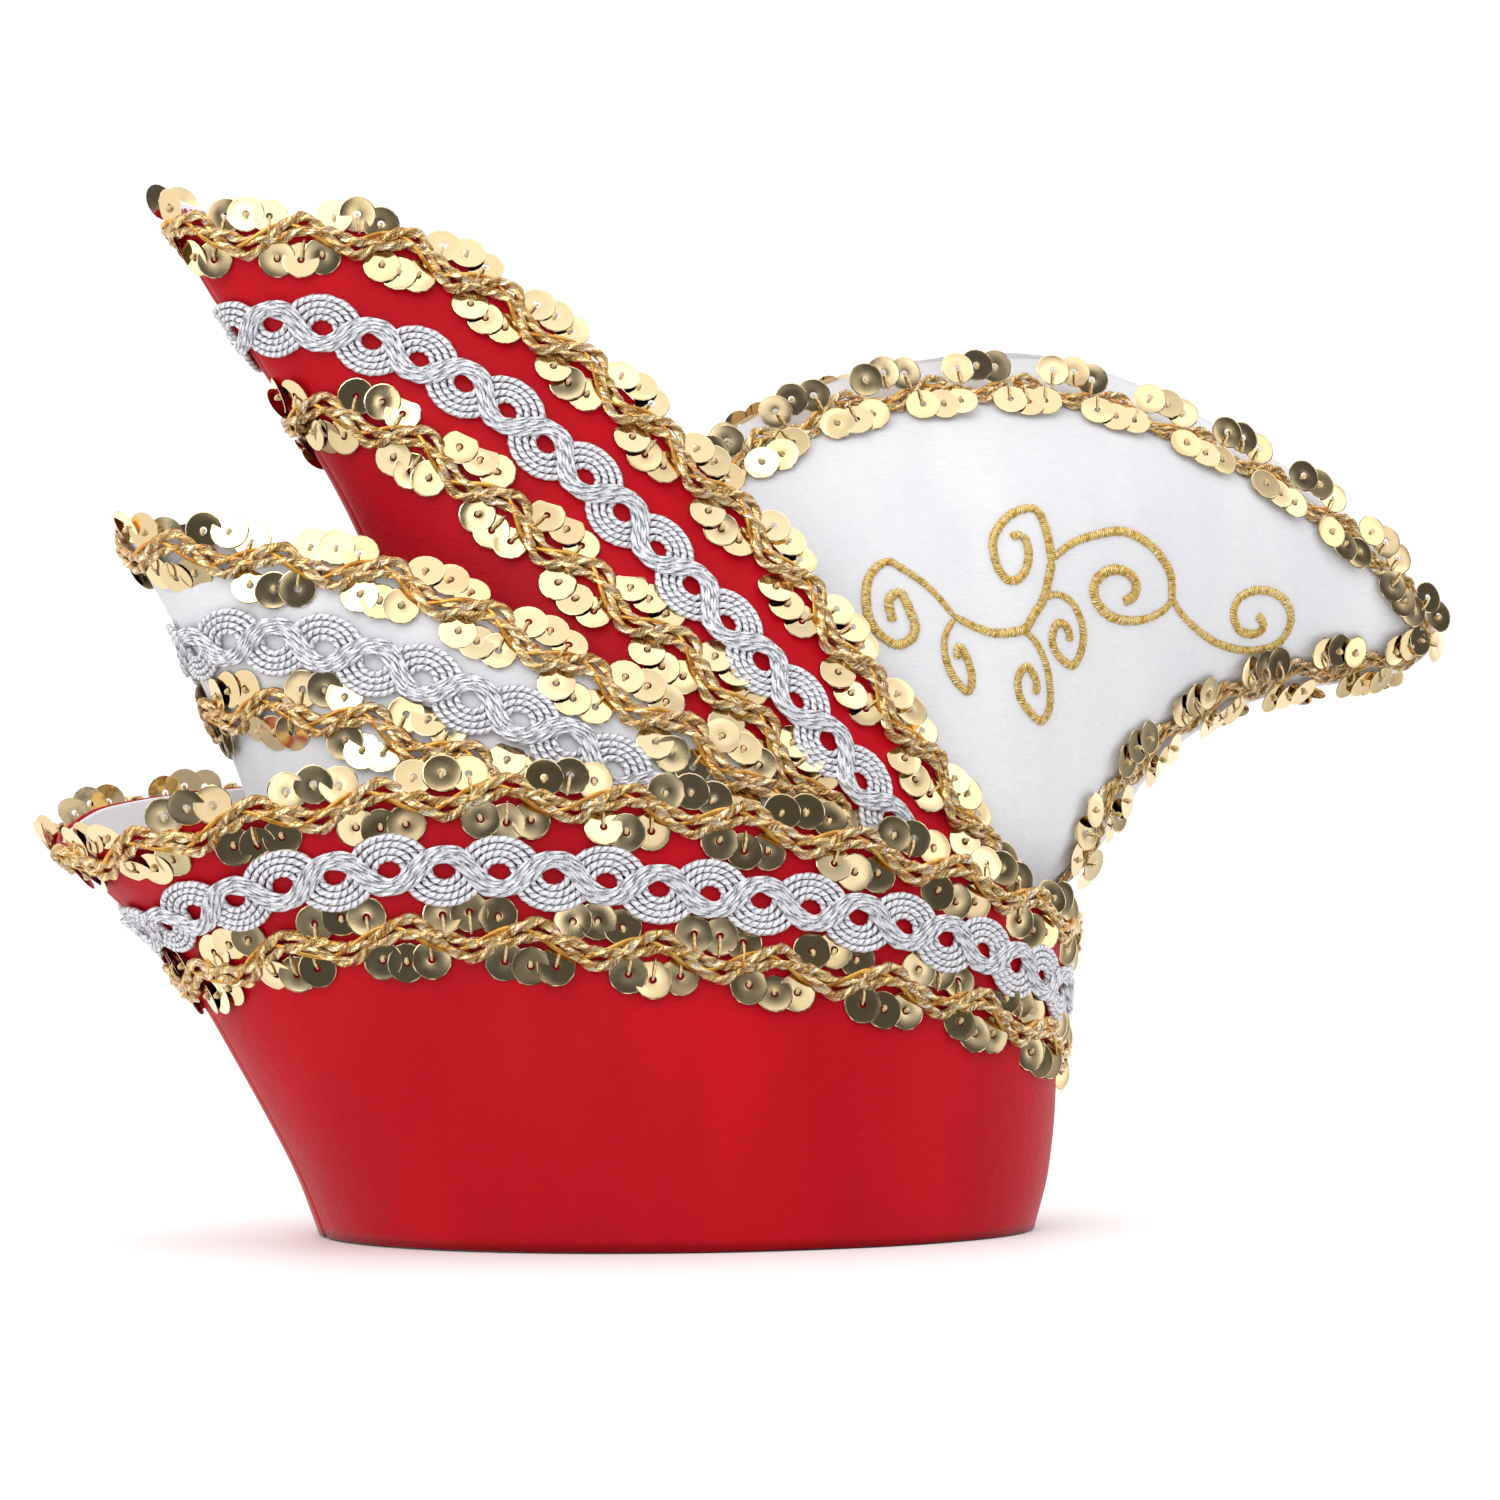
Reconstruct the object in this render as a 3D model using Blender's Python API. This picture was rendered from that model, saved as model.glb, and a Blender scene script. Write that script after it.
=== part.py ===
"""A carnival committee cap: three nested boat-shaped peaks round a horned crown, edged with gold and silver trims."""
import math

import bmesh
import bpy
import numpy as np

# Driving dimensions, millimetres. x runs from the peaks (-) to the horn (+), measured from the middle of
# the head opening, y sideways, z up from the rim.
MM = 0.001
BODY_SHIFT_X = -38.5      # puts the middle of the whole length on x = 0
SATIN = 1.2               # one layer of backed satin
FELT = 1.6                # felt lining of the cuff
PEAK_WALL = 2.0           # white peak, satin on felt
CROWN_WALL = 2.2          # white crown, satin on felt
GAP = 0.3                 # play between pieces
TRIM_LIFT = 0.8           # underside of a trim above the cloth
HOLLOW_LIFT = 1.6         # the same where the cloth is hollow
LINING_RISE = 1.2         # a lining stands this far above its satin
CUFF_FOOT = 0.0
LINING_FOOT = 2.0         # lining of the cuff starts above the rim
WHITE_FOOT = 8.0
RED_FOOT = 12.0
SHARP_ANGLE = 50.0        # degrees; edges past this are shaded sharp
BACK_SQUARENESS = 2.3     # power of the plan curve behind the widest line
FRONT_ROUNDNESS = 2.0     # power of the plan curve before it
GOLD_WIDTH = 14.0
GOLD_THICK = 1.8
SILVER_WIDTH = 12.6
SILVER_THICK = 1.6
TRIM_INSET = 8.5          # centre of an edge trim below the cloth's edge
TAIL_WIDTH = 7.0          # loose end of the gold trim at the back seam
TAIL_TOP = 32.0
TAIL_FOOT = 16.0
NOSE_STEPS = 16           # stations round half of a layer
LEVEL_STEPS = 8           # rows up a layer
BAND_STEPS = 22
CLIP_PLAY = 2.5           # a trim stops this far above the edge of the layer that covers it
MIN_BAND = 2.5            # narrowest strip of a trim that is still made

# Plan sections of each layer's outside: height, front seam x, back seam x, half-width.
CUFF_LEVELS = (
    # z, front, back, half
    (0, -94, 97, 76.5),
    (15, -100.5, 102, 76.8),
    (30, -108.5, 104, 76.8),
    (45, -117, 104.5, 76.5),
    (60, -126, 106, 75.5),
    (75, -137.5, 108, 75),
    (90, -153, 110, 74),
    (100, -163, 111, 73),
    (125, -186, 112, 69.5),
)
WHITE_LEVELS = (
    (8, -92, 94.5, 73.1),
    (25, -96, 98.5, 73.3),
    (45, -100, 100.5, 73.0),
    (60, -102, 102, 72),
    (90, -108, 104, 70.2),
    (111, -115, 105, 67.2),
    (136, -125, 105, 61.5),
    (159, -136, 104, 53),
    (170, -143, 103, 47),
    (180, -149, 102, 43),
    (195, -158, 100, 38),
)
RED_LEVELS = (
    (12, -88, 91.5, 70.5),
    (45, -84, 97.5, 70.5),
    (60, -81, 99, 69.5),
    (90, -76, 101, 67.6),
    (115, -74, 101, 64),
    (140, -75, 100, 58.5),
    (160, -78.5, 98, 53.5),
    (177, -84, 96, 48.5),
    (192, -92, 94, 45.5),
    (207, -102, 92, 42),
    (230, -118, 90, 36.5),
    (247, -130, 88, 32),
    (265, -139, 86, 27),
    (280, -146, 84, 23),
)
# Cloth edges seen from the side: x, z.
CUFF_EDGE = ((-164, 101), (-147, 111), (-116, 117), (-78, 121), (-42, 117), (-17, 110), (10, 104), (37, 97), (65, 91),
             (82, 86), (98, 81), (112, 79))
WHITE_EDGE = ((-150, 181), (-131, 180), (-106, 175), (-81, 169), (-58, 157), (-37, 144), (-16, 131), (0, 119),
              (12, 108), (28, 92), (48, 74), (72, 62), (106, 58))
RED_EDGE = ((-142, 267), (-125, 266), (-100, 264), (-76, 258), (-57, 246), (-38, 229), (-20, 212), (-3, 197),
            (13, 178), (28, 159), (44, 140), (58, 122), (71, 107), (84, 90), (102, 70))
# Centre lines of the lower trims and the braids, side view: x, z.
CUFF_BRAID = ((-150, 78), (-123, 89), (-97, 93.5), (-68, 95), (-39, 91), (-4, 84), (34, 75), (66, 67), (90, 59.5),
              (112, 54))
CUFF_LOWER = ((-136, 62), (-115, 74), (-97, 76), (-68, 77), (-35, 73), (-7, 68), (25, 61.5), (51, 54), (80, 45.5),
              (112, 39))
WHITE_BRAID = ((-139, 149), (-116, 152), (-102, 147), (-87, 141), (-73, 136), (-63, 130), (-49, 123), (-33, 113),
               (-15, 102), (5, 90))
WHITE_LOWER = ((-132, 133), (-117, 133), (-102, 130), (-80, 122), (-65, 114), (-50, 105), (-20, 90))
RED_BRAID = ((-124, 231), (-96, 229), (-72, 219), (-46, 200), (-27, 181.5), (-8, 162), (12, 139), (27, 121), (40, 106),
             (55, 90))
RED_LOWER = ((-106, 214), (-88, 209), (-67, 196), (-51, 179), (-36, 163), (-14, 145), (2, 127), (14, 113), (26, 99),
             (45, 78))
# The crown's sections, from its open foot to the tip of the horn: ridge side x and z, back side x and z,
# half-width, roundness of the ridge side and of the back side.
CROWN_ROWS = (
    # rx, rz, bx, bz, half, ridge, back
    (-79, 16, 87.5, 16, 67.2, 2.0, 2.3),
    (-78, 45, 91, 42, 67.0, 2.0, 2.3),
    (-71, 86, 93.5, 70, 62.5, 1.9, 2.2),
    (-60, 120, 104.6, 87.8, 57, 1.65, 2.0),
    (-43, 155, 120.5, 96.8, 52, 1.3, 1.8),
    (-18, 188, 132.3, 109.2, 47.5, 1.0, 1.6),
    (13, 213, 142.9, 122.6, 43.5, 0.85, 1.5),
    (49, 232, 154.4, 132.9, 39.5, 0.75, 1.4),
    (82, 241.5, 166.9, 140.4, 35.5, 0.7, 1.4),
    (112, 244, 180.4, 146.1, 31, 0.7, 1.4),
    (140, 238.5, 194.1, 149.9, 26.5, 0.73, 1.4),
    (165, 229, 206.9, 152.2, 22, 0.78, 1.4),
    (190, 217.5, 218.5, 154, 17.5, 0.88, 1.4),
    (213, 203, 228.6, 156.8, 13, 1.05, 1.5),
    (230, 188, 236.7, 161.1, 8, 1.4, 1.6),
    (241, 171, 241, 166, 3, 2.0, 2.0),
)
CROWN_TRIM_LIFT = 1.8
CROWN_STATIONS = 22
CROWN_ROUND = 12          # steps from the ridge side to the back side
TIP_SOLID = 0.90          # the cavity ends at this part of the way to the tip
# Gold trim round the crown's side, side view: x, z, width.
CROWN_TRIM = ((-14, 181, 14), (5.3, 196.5, 14), (20.3, 207.8, 14), (32.3, 215.2, 14), (44, 220.3, 14),
              (53.7, 223.6, 14), (67.8, 227.4, 14), (84, 230, 14), (99, 231, 14), (113, 229.8, 14),
              (127.4, 226.2, 14), (138, 222, 14), (151, 217, 14), (167, 211.8, 14), (180, 206.4, 14),
              (190, 201.4, 14), (200, 195.8, 14), (209, 190, 14), (217.6, 184, 12), (226.4, 177, 9),
              (231.8, 171.3, 8), (232.4, 166, 8), (228, 162.4, 8), (220.6, 160, 9), (210, 158.3, 11),
              (193.7, 156, 13), (181.7, 153.3, 14), (168.2, 149.4, 14), (158, 145.2, 14), (148, 139.9, 14),
              (137.4, 133, 14), (127.7, 125.3, 14), (120.2, 117.8, 14), (114.9, 111, 14), (111.8, 104.3, 13),
              (109.5, 98, 12), (107, 92, 12))


def table_at(rows, x, column):
    """A smooth curve through one column of a table, by its first column."""
    xs = [r[0] for r in rows]
    ys = [r[column] for r in rows]
    n = len(xs)
    x = min(max(x, xs[0]), xs[-1])
    i = min(max(int(np.searchsorted(xs, x)) - 1, 0), n - 2)
    slopes = [(ys[k + 1] - ys[k]) / (xs[k + 1] - xs[k]) for k in range(n - 1)]

    def tangent(k):
        if k == 0:
            return slopes[0]
        if k == n - 1:
            return slopes[-1]
        a, b = slopes[k - 1], slopes[k]
        if a * b <= 0:
            return 0.0
        return 2 * a * b / (a + b)

    h = xs[i + 1] - xs[i]
    t = (x - xs[i]) / h
    t2, t3 = t * t, t * t * t
    return ((2 * t3 - 3 * t2 + 1) * ys[i] + (t3 - 2 * t2 + t) * h * tangent(i)
            + (3 * t2 - 2 * t3) * ys[i + 1] + (t3 - t2) * h * tangent(i + 1))


def path_at(points, s):
    """A smooth curve through the points of a path, s from 0 to 1 by their number (Catmull-Rom)."""
    n = len(points) - 1
    i = min(int(s * n), n - 1)
    t = s * n - i
    p = [np.array(points[min(max(k, 0), n)], float) for k in (i - 1, i, i + 1, i + 2)]
    return 0.5 * (2 * p[1] + (p[2] - p[0]) * t + (2 * p[0] - 5 * p[1] + 4 * p[2] - p[3]) * t ** 2
                  + (3 * p[1] - p[0] - 3 * p[2] + p[3]) * t ** 3)


class Layer:
    """A boat-shaped layer: ellipse-like plan sections, cut along its edge line."""

    def __init__(self, levels, edge, foot):
        self.levels = levels
        self.edge = edge
        self.foot = foot

    def point(self, u, z):
        """Outside of the layer; u is 0 on the front seam, pi on the back seam, negative on the near side."""
        front = table_at(self.levels, z, 1)
        back = table_at(self.levels, z, 2)
        half = table_at(self.levels, z, 3)
        c, s = math.cos(u), math.sin(u)
        power = FRONT_ROUNDNESS if c > 0 else BACK_SQUARENESS
        reach = front if c > 0 else back
        x = reach * abs(c) ** (2 / power)
        y = math.copysign(half * abs(s) ** (2 / power), s)
        return np.array([x, y, z])

    def normal(self, u, z):
        du, dz = 2e-3, 0.2
        a = self.point(u + du, z) - self.point(u - du, z)
        b = self.point(u, z + dz) - self.point(u, z - dz)
        n = np.cross(b, a)
        n /= np.linalg.norm(n)
        p = self.point(u, z)
        return n if n @ np.array([p[0], p[1], 0]) > 0 else -n

    def height_at(self, u, line):
        """Height where the line of the surface at u meets a side-view line."""
        lo, hi = self.foot, self.levels[-1][0]
        for _ in range(30):
            mid = (lo + hi) / 2
            if mid < table_at(line, self.point(u, mid)[0], 1):
                lo = mid
            else:
                hi = mid
        return lo


class Crown:
    """The horned crown: closed sections between its ridge and its back seam, from the open foot to the tip."""

    def __init__(self, rows):
        self.rows = rows

    def point(self, u, w):
        """Outside of the crown; u is 0 on the ridge, pi on the back seam, negative on the near side."""
        rx, rz, bx, bz, half, ridge, back = path_at(self.rows, w)
        t = (1 - math.cos(u)) / 2
        reach = abs(2 * t - 1)
        power = ridge if t < 0.5 else back
        wide = max(1 - reach ** 2, 0.0) ** (1 / power)
        return np.array([rx + (bx - rx) * t, math.copysign(half * wide, u), rz + (bz - rz) * t])

    def normal(self, u, w):
        du, dw = 4e-3, 4e-3
        a = self.point(u + du, w) - self.point(u - du, w)
        b = self.point(u, min(w + dw, 1)) - self.point(u, max(w - dw, 0))
        n = np.cross(b, a)
        n /= np.linalg.norm(n)
        rx, rz, bx, bz = path_at(self.rows, w)[:4]
        middle = np.array([(rx + bx) / 2, 0, (rz + bz) / 2])
        return n if n @ (self.point(u, w) - middle) > 0 else -n

    def solve(self, x, z):
        """The (u, w) of a side-view point, on the near side."""
        lo, hi = 0.0, 1.0
        for _ in range(40):
            mid = (lo + hi) / 2
            rx, rz, bx, bz = path_at(self.rows, mid)[:4]
            if (bx - rx) * (z - rz) - (bz - rz) * (x - rx) < 0:
                hi = mid
            else:
                lo = mid
        rx, rz, bx, bz = path_at(self.rows, lo)[:4]
        t = ((x - rx) * (bx - rx) + (z - rz) * (bz - rz)) / ((bx - rx) ** 2 + (bz - rz) ** 2)
        return -math.acos(1 - 2 * min(max(t, 0.004), 0.996)), lo


def material(name, colour, roughness, metallic=0.0):
    mat = bpy.data.materials.new(name)
    mat.use_nodes = True
    bsdf = mat.node_tree.nodes["Principled BSDF"]
    bsdf.inputs["Base Color"].default_value = (*colour, 1.0)
    bsdf.inputs["Roughness"].default_value = roughness
    bsdf.inputs["Metallic"].default_value = metallic
    return mat


def add_object(name, verts, faces, mat):
    """One closed body from millimetre points, turned to face outwards."""
    mesh = bpy.data.meshes.new(name)
    points = [((p[0] + BODY_SHIFT_X) * MM, p[1] * MM, p[2] * MM) for p in verts]
    mesh.from_pydata(points, [], faces)
    bm = bmesh.new()
    bm.from_mesh(mesh)
    bmesh.ops.triangulate(bm, faces=bm.faces[:])
    bmesh.ops.recalc_face_normals(bm, faces=bm.faces[:])
    if bm.calc_volume(signed=True) < 0:
        bmesh.ops.reverse_faces(bm, faces=bm.faces[:])
    bm.to_mesh(mesh)
    bm.free()
    mesh.shade_smooth()
    mesh.set_sharp_from_angle(angle=math.radians(SHARP_ANGLE))
    mesh.materials.append(mat)
    obj = bpy.data.objects.new(name, mesh)
    bpy.context.collection.objects.link(obj)
    return obj


def shell(name, layer, outer, wall, rise, mat):
    """A layer of cloth: two skins of one wall, outer millimetres inside the layer's outside."""
    count = 2 * NOSE_STEPS
    verts = []
    for depth in (outer, outer + wall):
        for j in range(LEVEL_STEPS + 1):
            for i in range(count):
                u = 2 * math.pi * i / count
                u = u if u <= math.pi else u - 2 * math.pi
                top = layer.height_at(u, layer.edge)
                z = layer.foot + (top + rise - layer.foot) * j / LEVEL_STEPS
                p = layer.point(u, z) - layer.normal(u, z) * depth
                p[2] = z
                verts.append(p)
    skin = count * (LEVEL_STEPS + 1)
    faces = []
    for i in range(count):
        k = (i + 1) % count
        for j in range(LEVEL_STEPS):
            a, b = j * count, (j + 1) * count
            for base in (0, skin):
                faces.append((base + a + i, base + a + k, base + b + k))
                faces.append((base + a + i, base + b + k, base + b + i))
        top = LEVEL_STEPS * count
        faces.append((top + i, top + k, skin + top + k, skin + top + i))
        faces.append((k, i, skin + i, skin + k))
    return add_object(name, verts, faces, mat)


def crown_shell(name, crown, mat):
    """The crown, open below: an outer skin closed at the tip and a shorter inner skin closed before it."""
    count = 2 * CROWN_ROUND
    verts = []
    faces = []
    for depth, reach in ((0.0, 1.0), (CROWN_WALL, TIP_SOLID)):
        base = len(verts)
        for j in range(CROWN_STATIONS + 1):
            w = reach * j / CROWN_STATIONS
            for i in range(count):
                u = 2 * math.pi * i / count
                u = u if u <= math.pi else u - 2 * math.pi
                if depth:
                    p = inner_point(crown, u, w, depth)
                else:
                    p = crown.point(u, w)
                verts.append(p)
        for j in range(CROWN_STATIONS):
            for i in range(count):
                k = (i + 1) % count
                a, b = base + j * count, base + (j + 1) * count
                faces.append((a + i, a + k, b + k, b + i))
        end = base + CROWN_STATIONS * count
        verts.append(sum(verts[end:end + count]) / count)
        faces += [(end + i, end + (i + 1) % count, len(verts) - 1) for i in range(count)]
    skin = (CROWN_STATIONS + 1) * count + 1
    faces += [(i, (i + 1) % count, skin + (i + 1) % count, skin + i) for i in range(count)]
    return add_object(name, verts, faces, mat)


def inner_point(crown, u, w, depth):
    """Inside of the wall: the section drawn in at its ridge and back, and narrowed by the wall."""
    rx, rz, bx, bz, half, ridge, back = path_at(crown.rows, w)
    length = math.hypot(bx - rx, bz - rz)
    draw_in = depth * (1.0 + 1.2 * (2.0 - min(ridge, 2.0)) / 0.95) / length
    back_in = depth * (1.0 + 0.8 * (2.3 - min(back, 2.3)) / 0.9) / length
    start = np.array([rx, rz]) + np.array([bx - rx, bz - rz]) * draw_in
    end = np.array([bx, bz]) - np.array([bx - rx, bz - rz]) * back_in
    t = (1 - math.cos(u)) / 2
    wide = max(1 - abs(2 * t - 1) ** 2, 0.0) ** (1 / (ridge if t < 0.5 else back))
    x, z = start + (end - start) * t
    return np.array([x, math.copysign(max(half - depth, 0.3) * wide, u), z])


def slide(layer, u, z, move):
    """The (u, z) reached from a point of the surface by a small move along it."""
    goal = layer.point(u, z) + move
    for _ in range(4):
        here = layer.point(u, z)
        du, dz = 1e-3, 0.1
        a = (layer.point(u + du, z) - here) / du
        b = (layer.point(u, z + dz) - here) / dz
        step = np.linalg.lstsq(np.stack([a, b], 1), goal - here, rcond=None)[0]
        u += step[0]
        z += step[1]
    return u, z


def band_row(layer, line, u, width, clips, down):
    """One station of a trim: the (u, z) of its lower and its upper side, if it shows there."""
    near = [(w, layer.height_at(w, line) - down) for w in (u - 0.01, u, u + 0.01)]
    z = near[1][1]
    along = layer.point(*near[2]) - layer.point(*near[0])
    along /= np.linalg.norm(along)
    across = np.cross(layer.normal(u, z), along)
    across *= 1 if across[2] > 0 else -1
    low, high = -width / 2, width / 2

    def hidden(offset):
        w, h = slide(layer, u, z, across * offset)
        x = layer.point(w, h)[0]
        return any(h < table_at(clip, x, 1) + CLIP_PLAY for clip in clips)

    if hidden(high):
        return None
    if hidden(low):
        below, above = low, high
        for _ in range(20):
            mid = (below + above) / 2
            if hidden(mid):
                below = mid
            else:
                above = mid
        low = above
    if high - low < MIN_BAND:
        return None
    return [slide(layer, u, z, across * offset) for offset in (low, high)]


def band(name, layer, line, width, thick, mat, reach, clips=(), down=0.0, lift=TRIM_LIFT):
    """A trim that runs round the layer from the far side by the front seam to the near side."""
    if clips:
        shown, gone = 0.0, reach
        for _ in range(16):
            mid = (shown + gone) / 2
            if band_row(layer, line, mid, width, clips, down):
                shown = mid
            else:
                gone = mid
        reach = shown
    steps = 2 * BAND_STEPS
    rows = [band_row(layer, line, reach * (1 - 2 * k / steps), width, clips, down) for k in range(steps + 1)]
    verts = []
    for row in rows:
        for height in (lift, lift + thick):
            for u, z in row:
                verts.append(layer.point(u, z) + layer.normal(u, z) * height)
    return add_object(name, verts, strip_faces(len(rows)), mat)


def strip_faces(count):
    """Faces of a strip whose sections have two points below and two above."""
    faces = []
    ring = (0, 1, 3, 2)
    for k in range(count - 1):
        a, b = 4 * k, 4 * (k + 1)
        for n in range(4):
            m = (n + 1) % 4
            faces.append((a + ring[n], a + ring[m], b + ring[m], b + ring[n]))
    last = 4 * (count - 1)
    faces.append((0, 2, 3, 1))
    faces.append((last, last + 1, last + 3, last + 2))
    return faces


def crown_band(name, crown, side, thick, mat):
    """The gold trim round one side of the crown."""
    verts = []
    steps = BAND_STEPS * 2
    flip = np.array([1, -side, 1])
    for k in range(steps + 1):
        s = k / steps
        here = path_at(CROWN_TRIM, s)
        width = here[2]
        ahead = (path_at(CROWN_TRIM, min(s + 0.004, 1)) - path_at(CROWN_TRIM, max(s - 0.004, 0)))[:2]
        ahead /= np.linalg.norm(ahead)
        sideways = np.array([-ahead[1], ahead[0]])
        row = [crown.solve(*(here[:2] + sideways * offset)) for offset in (-width / 2, width / 2)]
        for lift in (CROWN_TRIM_LIFT, CROWN_TRIM_LIFT + thick):
            for u, w in row:
                verts.append((crown.point(u, w) + crown.normal(u, w) * lift) * flip)
    return add_object(name, verts, strip_faces(steps + 1), mat)


def back_tail(name, layer, mat):
    """The loose end of the gold trim, hanging down the back seam."""
    verts = []
    count = 7
    for k in range(count):
        t = k / (count - 1)
        z = TAIL_TOP + (TAIL_FOOT - TAIL_TOP) * t
        half = TAIL_WIDTH / 2 * (1 - 0.55 * t)
        for lift in (TRIM_LIFT, TRIM_LIFT + SATIN):
            for y in (-half, half):
                u = math.pi - abs(math.asin(min(abs(y) / 76, 1)) ** (BACK_SQUARENESS / 2))
                p = layer.point(u, z) + layer.normal(u, z) * lift
                p[1] = y
                verts.append(p)
    return add_object(name, verts, strip_faces(count), mat)


def main():
    for obj in list(bpy.data.objects):
        bpy.data.objects.remove(obj, do_unlink=True)

    red = material("red_satin", (0.55, 0.005, 0.045), 0.42)
    white = material("white_satin", (0.80, 0.80, 0.82), 0.42)
    felt = material("white_felt", (0.82, 0.81, 0.78), 0.95)
    gold = material("gold_trim", (0.70, 0.50, 0.20), 0.32, 0.85)
    silver = material("silver_braid", (0.62, 0.61, 0.58), 0.38, 0.85)

    cuff = Layer(CUFF_LEVELS, CUFF_EDGE, CUFF_FOOT)
    cuff_inside = Layer(CUFF_LEVELS, CUFF_EDGE, LINING_FOOT)
    white_peak = Layer(WHITE_LEVELS, WHITE_EDGE, WHITE_FOOT)
    red_peak = Layer(RED_LEVELS, RED_EDGE, RED_FOOT)
    crown = Crown(CROWN_ROWS)

    shell("cuff_satin", cuff, 0.0, SATIN, 0.0, red)
    shell("cuff_lining", cuff_inside, SATIN + GAP, FELT, LINING_RISE, felt)
    shell("white_peak", white_peak, 0.0, PEAK_WALL, 0.0, white)
    shell("red_peak_satin", red_peak, 0.0, SATIN, 0.0, red)
    shell("red_peak_lining", red_peak, SATIN + GAP, SATIN, LINING_RISE, felt)
    crown_shell("crown", crown, white)

    whole = math.pi - 0.01
    band("cuff_edge_trim", cuff, CUFF_EDGE, GOLD_WIDTH, GOLD_THICK, gold, whole, down=TRIM_INSET)
    band("cuff_braid", cuff, CUFF_BRAID, SILVER_WIDTH, SILVER_THICK, silver, whole)
    band("cuff_lower_trim", cuff, CUFF_LOWER, GOLD_WIDTH, GOLD_THICK, gold, whole)
    band("white_edge_trim", white_peak, WHITE_EDGE, GOLD_WIDTH, GOLD_THICK, gold, 1.9, (CUFF_EDGE,), TRIM_INSET)
    band("white_braid", white_peak, WHITE_BRAID, SILVER_WIDTH, SILVER_THICK, silver, 1.9, (CUFF_EDGE,))
    band("white_lower_trim", white_peak, WHITE_LOWER, GOLD_WIDTH, GOLD_THICK, gold, 1.9, (CUFF_EDGE,))
    covers = (CUFF_EDGE, WHITE_EDGE)
    band("red_edge_trim", red_peak, RED_EDGE, GOLD_WIDTH, GOLD_THICK, gold, 2.6, covers, TRIM_INSET)
    band("red_braid", red_peak, RED_BRAID, SILVER_WIDTH, SILVER_THICK, silver, 2.4, covers, lift=HOLLOW_LIFT)
    band("red_lower_trim", red_peak, RED_LOWER, GOLD_WIDTH, GOLD_THICK, gold, 2.2, covers, lift=HOLLOW_LIFT)
    crown_band("crown_trim_near", crown, -1, GOLD_THICK, gold)
    crown_band("crown_trim_far", crown, 1, GOLD_THICK, gold)
    back_tail("back_trim_tail", cuff, gold)


if __name__ == "__main__":
    main()
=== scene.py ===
"""A carnival committee cap in red and white satin, with gold sequin trims, silver braid and scroll embroidery."""

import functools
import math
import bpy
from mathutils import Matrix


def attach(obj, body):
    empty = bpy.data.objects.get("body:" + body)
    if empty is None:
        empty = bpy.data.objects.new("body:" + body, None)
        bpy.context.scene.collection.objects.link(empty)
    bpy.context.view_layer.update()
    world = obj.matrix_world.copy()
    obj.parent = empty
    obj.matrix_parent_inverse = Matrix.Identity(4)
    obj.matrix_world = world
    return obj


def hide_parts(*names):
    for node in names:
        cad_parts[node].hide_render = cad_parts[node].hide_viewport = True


bl_info = {
    "name": "Carnival Committee Cap",
    "version": (1, 0, 0),
    "blender": (4, 5, 0),
    "location": "View3D > Sidebar > Cap",
    "description": "Dresses the cap's solids in satin, sequins, braid and embroidery",
    "category": "Add Mesh",
}

import bpy
import numpy as np
from mathutils import Vector

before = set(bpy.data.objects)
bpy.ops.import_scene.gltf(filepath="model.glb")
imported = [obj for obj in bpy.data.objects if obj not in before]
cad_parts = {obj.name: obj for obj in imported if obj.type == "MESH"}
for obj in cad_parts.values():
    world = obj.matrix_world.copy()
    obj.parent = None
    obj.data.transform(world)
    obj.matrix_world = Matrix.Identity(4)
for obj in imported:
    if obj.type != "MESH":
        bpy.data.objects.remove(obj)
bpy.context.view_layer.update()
MM = 0.001
BODY = "root"

# Shapes, in millimetres from the middle of the head opening, as the solids have them.
BODY_SHIFT_X = -38.5  # of the head opening's middle from the middle of the whole cap
SATIN = 1.2
FELT = 1.6
PEAK_WALL = 2.0
CROWN_WALL = 2.2
GAP = 0.3  # between a satin wall and its lining
LINING_RISE = -0.2  # of a lining's edge past the satin's
TRIM_DROP = 4.5  # from the cloth's edge to the middle of its trim
BACK_SQUARENESS = 2.3
FRONT_ROUNDNESS = 2.0
PROW_BLEND = 0.7  # radians round the prow in which the near side's edge becomes the far side's
SHELL_STATIONS, SHELL_ROWS = 216, 34  # points round a layer and up its outside
CROWN_STATIONS, CROWN_ROWS_OUT, CROWN_ROWS_IN = 200, 110, 40
# Threads, in millimetres and strands.
ZIGZAG = 2.6
ZIGZAG_DROP = 2.2  # from the cloth's edge to the top of the zigzag
THREAD_RISE = 0.35  # of the zigzag's middle above the lining
FOIL_PLY = 3
FOIL_TWIST = 5.0
ROPE_SWINGS = ((4.6, 0.0), (1.1, 0.7))  # how far each rope of a trim waves, and its lag in radians
ROPE_RISE, CROWN_ROPE_RISE = 2.2, 1.4
CROWN_ROPE_SHARE = 0.86  # the crown's ropes are drawn tighter
TAIL_TOP, TAIL_END, TAIL_STRANDS = 33.0, 12.0, 5
GIMP_TWIST = 1.9
BUNDLE_TWIST, BUNDLE_STRANDS = 4.4, 6
BUNDLE_SWING = 4.2
LOOP_CORDS = 4
FULL_STROKE = 2.6  # the embroidery's full width, for the widths in its table
# Sequins: from the trim's middle to their row, above the cloth, and how they stand.
SEQUIN_ROW = 5.7
SEQUIN_LIFT, CROWN_SEQUIN_LIFT = 1.15, 2.7
SEQUIN_LEAN = math.radians(9.5)
SEQUIN_TILT_UP = 0.07
LONG_THREADS = 0.36  # share of sequins whose thread reaches the cords
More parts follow.
